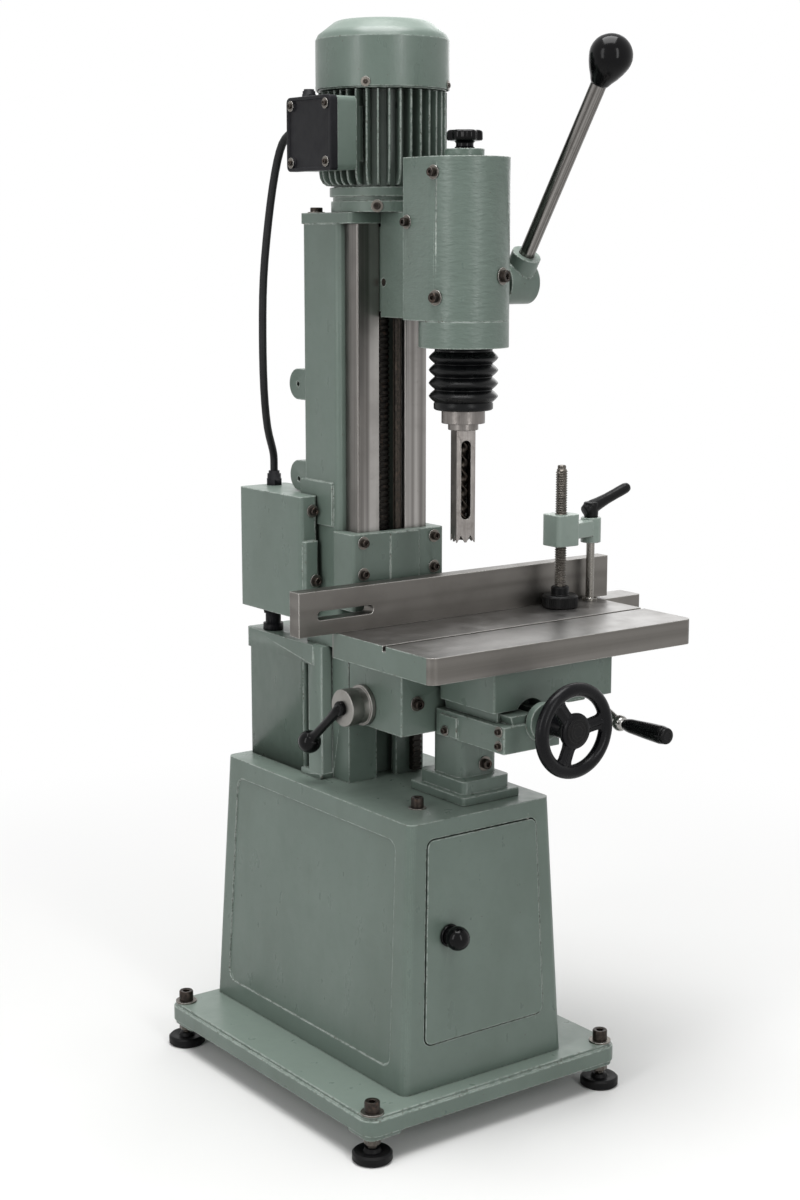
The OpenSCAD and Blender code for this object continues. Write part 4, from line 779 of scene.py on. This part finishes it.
# ---- motor ----

motorFins = {
    "count": 36, "core": 77, "sunk": 3, "tip": 100, "root": 4.4, "crest": 2.6, "low": 1453, "high": 1594.5,
    "axis": (0, 11), "boxFace": -91.6, "boxSpan": (-52, 70),
}
motorShell = [
    (0, 1606), (25, 1606), (25, 1599), (66, 1599), (66, 1451), (60, 1450), (77, 1450), (77, 1594.5),
    (84, 1596), (99.2, 1596), (99.2, 1610), (26, 1610), (26, 1608), (0, 1608)]
boxSeat = {"low": (-36, 1482), "high": (54, 1575), "chamfer": 6, "from": -70, "to": -91.8}


# One fin, thick at its root, thin at its crest and rounded off below; one metre long in X.
def finPattern():
    mesh = bmesh.new()
    tall = motorFins["high"] - motorFins["low"]
    outline = [(0, 0), (0.55, 0), (0.78, 4), (0.93, 11), (1.0, 22), (1.0, tall), (0, tall)]
    skinned(mesh, [[mesh.verts.new((
        x, side * (motorFins["root"] * (1 - x) + motorFins["crest"] * x) / 2 * mm, z * mm))
        for x, z in outline] for side in (-1, 1)])
    return patternShape("fin_pattern", mesh)


def chamfered(low, high, chamfer):
    (x0, y0), (x1, y1), c = low, high, chamfer
    return [(x0 + c, y0), (x1 - c, y0), (x1, y0 + c), (x1, y1 - c), (x1 - c, y1), (x0 + c, y1), (x0, y1 - c),
            (x0, y0 + c)]


# Fins that would run into the terminal box stop at its face.
def makeMotor():
    look = motorFins
    cx, cy = look["axis"]
    low, high = look["boxSpan"]
    start = look["core"] - look["sunk"]
    places = []
    for i in range(look["count"]):
        turn = i * math.tau / look["count"]
        tip = look["tip"]
        if math.cos(turn) < 0 and low < cy + tip * math.sin(turn) < high:
            tip = min(tip, look["boxFace"] / math.cos(turn))
        foot = moved(cx + start * math.cos(turn), cy + start * math.sin(turn), look["low"])
        places.append((foot @ Matrix.Rotation(turn, 4, "Z"), ((tip - start) * mm, 1, 1)))
    grown("motor_fins", placesMesh("fins", places), standTree,
          {"Shape": finPattern(), "Material": enamel}, "frame", ["motor_frame"])
    mesh = bmesh.new()
    spun(mesh, motorShell, moved(cx, cy, 0), 96)
    prism(mesh, chamfered(boxSeat["low"], boxSeat["high"], boxSeat["chamfer"]), boxSeat["from"], boxSeat["to"],
          sideways)
    showPiece("motor_body", mesh, enamel, "frame", ["motor_frame"], bevel=0.8)


makeMotor()
print("stage: motor")

terminalLid = {
    "across": (-51, 69), "up": (1473, 1584), "back": -128, "panel": -138.6, "front": -141, "corner": 9,
    "rim": 5, "edge": 1.2, "boss": 8.5, "bossLow": 3, "bossHigh": 12.9, "bossEdge": 0.8,
}


def roundedBox(low, high, corner):
    (x0, y0), (x1, y1) = low, high
    return roundedLine([
        (x0 + corner, y0), (x1, y0, corner), (x1, y1, corner), (x0, y1, corner), (x0, y0, corner),
        (x0 + corner + 1, y0)], 5)[:-1]


# The terminal box's lid: a moulding with a raised border and a boss round each corner screw.
def makeTerminalLid():
    look = terminalLid
    (y0, y1), (z0, z1), rim = look["across"], look["up"], look["rim"]
    centre = ((y0 + y1) / 2, (z0 + z1) / 2)
    outer = roundedBox((y0, z0), (y1, z1), look["corner"])
    inner = roundedBox((y0 + rim, z0 + rim), (y1 - rim, z1 - rim), look["corner"] - 3)
    mesh = bmesh.new()
    skinned(mesh, [outlineRing(mesh, outline, out, sideways, size, centre) for outline, out, size in (
        (outer, look["back"], 1), (outer, look["front"] + look["edge"], 1), (outer, look["front"], 0.985),
        (inner, look["front"], 1), (inner, look["panel"], 0.98))])
    boss, low, high, edge = look["boss"], look["bossLow"], look["bossHigh"], look["bossEdge"]
    for y, z in lidScrews:
        spun(mesh, [(0, low), (boss, low), (boss, high - 0.7), (boss - edge, high), (0, high)],
             standing((look["back"], y, z), (-1, 0, 0)), 32)
    showPiece("lid_moulding", mesh, lidBlack, "frame", ["terminal_lid"])


makeTerminalLid()

# ---- bellows, auger and hold-down screw ----

bellowsLook = {
    "axis": (0, -196), "top": 1211, "bottom": 1117, "throat": 27, "valley": 43.8, "crest": 52.5,
    "crests": [15, 34, 53.5, 73], "fold": 9.2, "power": 1.35, "steps": 12, "collar": 43.8, "bead": 1.2,
}


# A moulded bellows: pointed folds with tight valleys, closed by a plain collar below.
def makeBellows():
    look = bellowsLook
    top, bottom, valley, collar = look["top"], look["bottom"], look["valley"], look["collar"]
    line = [(look["throat"], top), (valley - 1, top), (valley, top - 2)]
    for depth in look["crests"]:
        for step in range(look["steps"] + 1):
            swing = math.cos(math.pi * step / look["steps"])
            bulge = 1 - abs(swing) ** look["power"]
            line.append((valley + (look["crest"] - valley) * bulge, top - depth + look["fold"] * swing))
    bead = collar + look["bead"]
    line += [(collar, bottom + 11.5), (bead, bottom + 10), (bead, bottom + 2.5), (collar - 0.4, bottom + 0.6),
             (collar - 2, bottom), (look["throat"], bottom)]
    mesh = bmesh.new()
    spun(mesh, line, moved(*look["axis"], 0), 96, looped=True)
    showPiece("rubber_bellows", mesh, bellowsRubber, "head", ["bellows"], angle=50)


makeBellows()

augerLook = {
    "axis": (0, -196), "tip": 918, "top": 1098, "flute": 8.2, "web": 2.6, "turns": -4, "steps": 150,
    "sides": 28, "land": 5, "point": 0.35, "shank": 6, "shankTop": 1167,
}


# The auger: two flutes wound round a thin web, on a plain shank that goes up into the spindle.
def makeAuger():
    look = augerLook
    axis = moved(*look["axis"], 0)
    mesh = bmesh.new()
    rings = []

    def fluted(turn):
        return look["web"] + (look["flute"] - look["web"]) * abs(math.cos(turn)) ** look["land"]

    for step in range(look["steps"] + 1):
        t = step / look["steps"]
        sharp = look["point"] + (1 - look["point"]) * min(1.0, t * 12)
        height = look["tip"] + t * (look["top"] - look["tip"])
        rings.append(ringOf(mesh, axis @ turned(look["turns"] * 360 * t, "Z"),
                            lambda turn: fluted(turn) * sharp, height, look["sides"]))
    skinned(mesh, rings)
    top, end, r = look["top"], look["shankTop"], look["shank"]
    spun(mesh, [(0, top - 1), (r - 0.6, top - 1), (r, top), (r, end - 1), (r - 0.8, end), (0, end)], axis, 32)
    showPiece("auger_flutes", mesh, shaftSteel, "spindle", ["auger_bit"], angle=50)


makeAuger()

holdScrew = {
    "axis": (276, -108), "low": 806.3, "high": 1002, "radius": 10, "pitch": 4.0, "depth": 1.7, "seat": 2,
    "peg": 7, "pegLow": -37,
}


# A trapezoid thread wound up a core by geometry nodes.
def makeThreadTree():
    tree, given = makeTree("wound thread", [
        ("Turns", "Float", 50.0), ("Radius", "Float", 0.008), ("Height", "Float", 0.2),
        ("Crest", "Float", 0.0016), ("Material", "Material", None)])
    spiral = addNode(tree, "GeometryNodeCurveSpiral", {
        "Resolution": 24, "Rotations": given.outputs["Turns"], "Start Radius": given.outputs["Radius"],
        "End Radius": given.outputs["Radius"], "Height": given.outputs["Height"]})
    upright = addNode(tree, "GeometryNodeSetCurveNormal", {"Curve": spiral}, mode="Z_UP")
    section = addNode(tree, "GeometryNodeCurvePrimitiveCircle", {
        "Resolution": 4, "Radius": given.outputs["Crest"]})
    wound = addNode(tree, "GeometryNodeCurveToMesh", {
        "Curve": upright, "Profile Curve": section, "Fill Caps": True})
    joined = addNode(tree, "GeometryNodeJoinGeometry", {"Geometry": wound}, output=None)
    tree.links.new(given.outputs["Geometry"], joined.inputs[0])
    endTree(tree, given, joined.outputs[0])
    return tree


# A peg that turns in the pad, a threaded length and a plain end.
def makeHoldScrew():
    look = holdScrew
    span = look["high"] - look["low"] - 6
    r, peg, low = look["radius"], look["peg"], look["pegLow"]
    core = r - look["depth"]
    mesh = bmesh.new()
    spun(mesh, [(0, low), (peg - 0.8, low), (peg, low + 1), (peg, 1), (r - 1, 1), (core, 3), (core, span + 4),
                (r - 3, span + 5), (r - 3, span + 9.5), (r - 4.5, span + 11), (0, span + 11)],
         moved(0, 0, -look["seat"]), 40)
    bmesh.ops.recalc_face_normals(mesh, faces=mesh.faces)
    screw = grown("hold_down_thread", meshData("thread core", mesh), makeThreadTree(), {
        "Turns": span / look["pitch"], "Radius": (core - 0.1) * mm, "Height": span * mm,
        "Crest": (look["depth"] + 0.1) * mm, "Material": threadSteel},
        "hold_screw", ["clamp_screw"], angle=25)
    screw.data.transform(moved(*look["axis"], look["low"] + look["seat"]))


makeHoldScrew()
print("stage: bellows, auger, thread")

# ---- knobs, levers and the handwheel ----

feedLever = {
    "pivot": (124, -165, 1305), "lean": 33, "rod": 24, "from": 17, "to": 344, "length": 386, "ball": 32,
    "taper": [(0, -44), (13.4, -44), (15.2, -41), (17, -37), (20, -32), (23, -27), (25.8, -21), (28, -16),
              (30, -10), (31.4, -5)],
}


# A bright bar with a pear-shaped knob: a taper that runs up into half a ball.
def makeFeedLever():
    look = feedLever
    place = moved(*look["pivot"]) @ turned(look["lean"], "X")
    r, low, high = look["rod"] / 2, look["from"], look["to"]
    mesh = bmesh.new()
    spun(mesh, [(0, low), (r - 1, low), (r, low + 1), (r, high - 1), (r - 1, high), (0, high)], place, 64)
    showPiece("lever_bar", mesh, rodSteel, "feed_lever", ["lever_rod"])
    mesh = bmesh.new()
    taper = [(radius, look["length"] + up) for radius, up in look["taper"]]
    spun(mesh, taper + ballLine(look["ball"], look["length"], 0), place, 96)
    showPiece("pear_knob", mesh, knobBlack, "feed_lever", ["lever_knob"], angle=60)


makeFeedLever()

topKnob = {
    "axis": (0, -196), "low": 1502.3, "lobes": 7, "radius": 27, "dip": 3.4, "power": 1.6, "lobeSides": 16,
    "neck": [(0, 0), (15, 0), (15, 2), (13.4, 3, 1), (13, 8, 3), (17, 12.4), (0, 12.4)],
    "stem": [(0, -18), (5.6, -18), (6, -17.4), (6, 1), (0, 1)],
    "rings": [(0.70, 11), (0.95, 11.6), (1.0, 13.4), (1.0, 23), (0.96, 25.4), (0.86, 26.8), (0.5, 26.6),
              (0.36, 25.6)],
}


# A lobed hand knob; each ring of its head is a share of the lobed outline at a height.
def makeTopKnob():
    look = topKnob
    place = moved(*look["axis"], look["low"])
    mesh = bmesh.new()
    spun(mesh, roundedLine(look["neck"]), place, 64)
    spun(mesh, look["stem"], place, 32)

    def lobed(turn):
        wave = 0.5 - 0.5 * math.cos(look["lobes"] * turn)
        return look["radius"] - look["dip"] * wave ** look["power"]

    skinned(mesh, [ringOf(mesh, place, lambda turn: lobed(turn) * share, height,
                          look["lobes"] * look["lobeSides"]) for share, height in look["rings"]])
    showPiece("lobed_knob", mesh, knobBlack, "top_knob", ["top_knob"], angle=40)


makeTopKnob()


# Melts overlapping shells into one casting with soft fillets.
def melted(name, mesh, grid, smooth, material, body, replaced):
    bmesh.ops.recalc_face_normals(mesh, faces=mesh.faces)
    rough = placed(name + "_rough", meshData(name, mesh))
    remesh = rough.modifiers.new("melt", "REMESH")
    remesh.mode = "VOXEL"
    remesh.voxel_size = grid * mm
    soften = rough.modifiers.new("soften", "SMOOTH")
    soften.factor = 0.5
    soften.iterations = smooth
    data = baked(rough)
    for face in data.polygons:
        face.use_smooth = True
    coated(data, material)
    return adopt(placed(name, data), body, replaced)


wheelLook = {
    "centre": (65, -386, 646), "radius": 63, "rim": 10.8, "flat": 0.98, "spokes": (8, -112, 128), "nut": 19,
    "spoke": [(12, -14), (30, -10.5), (46, -11), (57, -15), (57, 15), (46, 11), (30, 10.5), (12, 14)],
    "rib": [(10, -3), (55, -2.6), (55, 2.6), (10, 3)],
    "hub": [(0, -62), (14.5, -62), (17, -60), (17, -14), (22, -8), (27, -2), (28, 3), (26.5, 6.6), (22, 8.2),
            (0, 8.4)],
    "face": [(0, 8), (21, 8), (21, 9.2, 0.6), (18, 9.4, 0.4), (17.6, 8.7), (14.6, 8.7), (14.2, 9.6, 0.3),
             (12.6, 9.8, 0.3), (12.2, 9.2), (0, 9.2)],
}


# The handwheel faces the operator; its local +Z is the way its screw points, towards the front.
def makeHandwheel():
    look = wheelLook
    place = moved(*look["centre"]) @ turned(90, "X")
    mesh = bmesh.new()
    tilts = [k * math.tau / 20 for k in range(20)]
    spun(mesh, [(look["radius"] + look["rim"] * math.cos(tilt), look["rim"] * look["flat"] * math.sin(tilt))
                for tilt in tilts], place, 96, looped=True)
    for turn in look["spokes"]:
        spoke = place @ turned(turn, "Z")
        prism(mesh, look["spoke"], -4.5, 4.0, spoke)
        prism(mesh, look["rib"], -6.8, 6.4, spoke)
    spun(mesh, look["hub"], place, 64)
    melted("handwheel_casting", mesh, 1.05, 7, wheelBlack, "wheel", ["handwheel"])
    front = bmesh.new()
    spun(front, roundedLine(look["face"]), place, 64)
    prism(front, hexagon(look["nut"], 0.2), 9, 9.95, place, 0.94)
    showPiece("wheel_nut", front, castBlack, "wheel", ["handwheel"])


makeHandwheel()

liftLook = {
    "face": -118.3, "axis": (-40, 640), "turn": -131, "lean": -2, "length": 106, "ball": 19, "sunk": 5,
    "teeth": 20, "gear": (-63, -47), "tooth": ((0.04, 29.7), (0.46, 29.7), (0.52, 26.7), (0.98, 26.7)),
    "boss": [(0, 0), (12, 0), (12, 6, 1), (10, 9, 1.5), (0, 9)],
    "arm": [(0, -6), (6, -5), (8.6, 0), (8.8, 12), (7.6, 30), (6.9, 55), (7.2, 78), (8.2, 86)],
}


# The lift lever: a bright drum and a gear on its shaft, and a ball lever screwed into the drum's face.
def makeLiftLever():
    look = liftLook
    along = moved(0, *look["axis"]) @ turned(-90, "Y")
    face = -look["face"]
    mesh = bmesh.new()
    spun(mesh, [(0, -73), (10, -73), (10, 75), (32, 75.3), (33, 76.2), (33, 82.5), (32, 83.3), (29, 83.6),
                (28.6, 84.4), (28.6, 94.5), (29.6, 95.6), (30, 96.4), (30, face - 1.4), (29, face - 0.4),
                (27.4, face), (0, face)], along, 96)
    gear = []
    for i in range(look["teeth"]):
        for share, reach in look["tooth"]:
            turn = (i + share) * math.tau / look["teeth"]
            gear.append((reach * math.cos(turn), reach * math.sin(turn)))
    prism(mesh, gear, *look["gear"], along)
    showPiece("lift_drum", mesh, drumSteel, "lift", ["lift_lever"], angle=30)
    base = moved(look["face"], *look["axis"])
    mesh = bmesh.new()
    spun(mesh, roundedLine(look["boss"]), base @ turned(-90, "Y"), 48)
    arm = base @ moved(-look["sunk"], 0, 0) @ turned(look["turn"], "X") @ turned(look["lean"], "Y")
    spun(mesh, look["arm"] + ballLine(look["ball"], look["length"], -60), arm, 64)
    showPiece("lift_ball", mesh, knobBlack, "lift", ["lift_lever"], angle=40)


makeLiftLever()

lockLook = {
    "arm": 242, "lug": (-205, 655), "elbow": (-296, 614), "ball": 13, "ballEnd": 12,
    "hub": [(0, 192), (5.4, 192), (6, 192.6), (6, 235), (12, 234.4), (13, 235.4), (13, 248.4), (11.6, 250),
            (0, 250)],
    "grip": [(0, 8), (8, 8), (8.6, 13), (10.2, 14, 0.5), (11.4, 22, 3), (13.6, 62, 20), (14.6, 90, 6),
             (13.6, 97, 1), (13.2, 97.6), (13.4, 99, 1), (12.6, 104, 3), (7, 105, 1), (6, 104), (0, 104)],
}


# The lock lever: a plated arm and ball elbow, with a tapered black handle pointing at the operator.
def makeLockLever():
    look = lockLook
    arm, ball, end = look["arm"], look["ball"], look["ballEnd"]
    (lugY, lugZ), (elbowY, elbowZ) = look["lug"], look["elbow"]
    mesh = bmesh.new()
    spun(mesh, look["hub"], moved(0, lugY, lugZ) @ turned(90, "Y"), 48)
    rod = standing((arm, lugY, lugZ), (0, elbowY - lugY, elbowZ - lugZ))
    length = math.hypot(elbowY - lugY, elbowZ - lugZ)
    spun(mesh, [(0, -4), (7.4, -4), (7.0, 14), (6.2, length * 0.5), (7.2, length)], rod, 48)
    turns = [math.radians(degrees) for degrees in range(25, 160, 9)]
    spun(mesh, [(0, -end)] + [(ball * math.sin(turn), -ball * math.cos(turn)) for turn in turns] + [(0, end)],
         moved(arm, elbowY, elbowZ) @ turned(90, "Y"), 48)
    showPiece("lock_elbow", mesh, chromeSteel, "lock", ["lock_lever"], angle=30)
    mesh = bmesh.new()
    spun(mesh, roundedLine(look["grip"], 5), standing((arm, elbowY - 4, elbowZ), (0, -1, 0)), 64)
    showPiece("lock_grip", mesh, gripBlack, "lock", ["lock_lever"], angle=40)


makeLockLever()

clampLook = {
    "post": (358, -90), "low": 912.3, "turn": -6, "rise": 22, "armUp": 16,
    "hub": [(0, 0), (11.5, 0), (12, 3), (12.4, 14), (13, 20), (12.4, 24.4), (10, 26), (0, 26)],
    "arm": [(0, -16), (9, -15), (11.8, -8), (12, 4), (10.4, 18), (9.2, 34), (9, 52), (9.2, 66), (9, 76),
            (7.4, 81.6), (4, 84.4), (0, 85)],
}


# Ratchet clamp lever: a zinc hub with a cranked, rounded arm.
def makeClampLever():
    look = clampLook
    place = moved(*look["post"], look["low"])
    mesh = bmesh.new()
    spun(mesh, look["hub"], place, 48)
    arm = place @ moved(0, 0, look["armUp"]) @ turned(look["turn"], "Z") @ turned(90 - look["rise"], "Y")
    spun(mesh, look["arm"], arm, 48)
    melted("clamp_handle", mesh, 0.7, 6, castBlack, "hold_lever", ["clamp_lever"])


makeClampLever()

clampPad = {"axis": (276, -108), "low": 770.3, "radius": 30, "height": 21.7, "ribs": 48, "dip": 0.7}


# The screw's pad: a ribbed rim between two chamfered plates, under a socket for the screw's peg.
def makeClampPad():
    look = clampPad
    place = moved(*look["axis"], look["low"])
    r, h, sides = look["radius"], look["height"], look["ribs"] * 2
    mesh = bmesh.new()
    outline = []
    for i in range(sides):
        turn = i * math.tau / sides
        reach = r - (look["dip"] if i % 2 else 0)
        outline.append((reach * math.cos(turn), reach * math.sin(turn)))
    prism(mesh, outline, 2.2, h - 3, place)
    for line, around in (
            ([(0, 0), (r - 2.6, 0), (r - 0.8, 1.4), (r - 0.8, 2.6), (0, 2.6)], 96),
            ([(0, h - 3.6), (r - 0.8, h - 3.6), (r - 0.9, h - 2), (r - 3.4, h), (16, h), (0, h)], 96),
            ([(0, h - 1), (15, h - 1), (15, h + 11.5), (13.4, h + 13.7), (10.6, h + 13.7), (9.4, h + 12.6),
              (0, h + 12.6)], 48)):
        spun(mesh, line, place, around)
    showPiece("screw_pad", mesh, castBlack, "hold_pad", ["clamp_pad"], angle=30)


makeClampPad()

doorKnob = {
    "at": (-70, 241.5, 3.8), "ball": 19, "centre": 20.2,
    "collar": [(0, -19), (4.6, -19), (5, -18.4), (5, 0), (17.4, 0), (18, 0.7), (17.9, 2.6), (17, 3.8),
               (13, 4.4)],
    "tongue": [(-9, -8), (9, -8), (9, 54), (6, 58), (-6, 58), (-9, 54)], "tongueAt": (-19, -15),
}


# The latch: a ball on a collar outside the door, and a tongue behind it on the same stem.
def makeDoorKnob():
    look = doorKnob
    place = frontWall @ moved(*look["at"])
    mesh = bmesh.new()
    spun(mesh, look["collar"] + ballLine(look["ball"], look["centre"], -40), place, 72)
    prism(mesh, look["tongue"], *look["tongueAt"], place)
    showPiece("door_ball_knob", mesh, knobBlack, "latch", ["door_latch"], angle=40)


makeDoorKnob()
print("stage: knobs, levers, wheel")

# ---- floor, light and picture ----

# Each lamp is its place, the point it looks at, its sides in metres and its watts.
studioLook = {
    "floor": "#EDEDEC", "reach": 30000, "white": (350, 2100), "world": 0.30,
    "lamps": [
        ((-3300, -550, 2000), (0, -50, 900), (0.8, 2.8), 33),
        ((-350, -3600, 2000), (0, -50, 900), (0.6, 2.8), 33),
        ((-200, -300, 4300), (0, -100, 700), (2.4, 2.4), 150),
        ((2300, 1600, 2400), (0, 0, 900), (1.4, 2.2), 14)],
}


# A matt floor that keeps the shadow near the machine and runs out to plain white further off.
def makeStage():
    scene = bpy.context.scene
    material, tree, shader, _, _ = startFinish("matt studio paper", 1.0)
    shader.inputs["Base Color"].default_value = colour(studioLook["floor"])
    shader.inputs["Roughness"].default_value = 0.9
    shader.inputs["Specular IOR Level"].default_value = 0.1
    seen = addNode(tree, "ShaderNodeEmission", {"Color": (1, 1, 1, 1), "Strength": 1.0})
    place = addNode(tree, "ShaderNodeTexCoord", output="Object")
    away = addNode(tree, "ShaderNodeVectorMath", {0: place}, "Value", operation="LENGTH")
    near, far = studioLook["white"]
    blank = ramp(tree, away, near * mm, far * mm, kind="SMOOTHSTEP")
    share = times(tree, blank, eyeRays(tree))
    output = shader.outputs[0].links[0].to_node
    tree.links.new(addNode(tree, "ShaderNodeMixShader", {0: share, 1: shader.outputs[0], 2: seen}),
                   output.inputs["Surface"])
    mesh = bmesh.new()
    corner = studioLook["reach"]
    outline = [(-corner, -corner), (corner, -corner), (corner, corner), (-corner, corner)]
    mesh.faces.new(outlineRing(mesh, outline, 0, Matrix()))
    data = meshData("studio floor", mesh)
    data.materials.append(material)
    placed("studio_floor", data)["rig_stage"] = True
    world = bpy.data.worlds.new("studio")
    world.use_nodes = True
    scene.world = world
    nodes = world.node_tree
    nodes.nodes.clear()
    light = addNode(nodes, "ShaderNodeBackground", {"Color": (1, 1, 1, 1), "Strength": studioLook["world"]})
    seen = addNode(nodes, "ShaderNodeBackground", {"Color": (1, 1, 1, 1), "Strength": 1.0})
    addNode(nodes, "ShaderNodeOutputWorld", {
        "Surface": addNode(nodes, "ShaderNodeMixShader", {0: eyeRays(nodes), 1: light, 2: seen})})
    for index, (place, aim, size, power) in enumerate(studioLook["lamps"]):
        lamp = bpy.data.lights.new("softbox", "AREA")
        lamp.shape = "RECTANGLE"
        lamp.size, lamp.size_y = size
        lamp.energy = power
        holder = placed("softbox" + str(index), lamp)
        holder.location = Vector(place) * mm
        holder.rotation_euler = (Vector(aim) - Vector(place)).to_track_quat("-Z", "Y").to_euler()
    scene.view_settings.view_transform = "Standard"


# Rays that show the backdrop: straight from the eye, off a gloss, or through glass.
def eyeRays(tree):
    path = addNode(tree, "ShaderNodeLightPath", output=None)
    share = path.outputs["Is Camera Ray"]
    for kind in ("Is Glossy Ray", "Is Transmission Ray"):
        share = addNode(tree, "ShaderNodeMath", {0: share, 1: path.outputs[kind]}, operation="MAXIMUM")
    return share


makeStage()
print("stage: floor and light")

sizes = {"cad": cadBox, "seen": [list(corner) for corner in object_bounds()]}
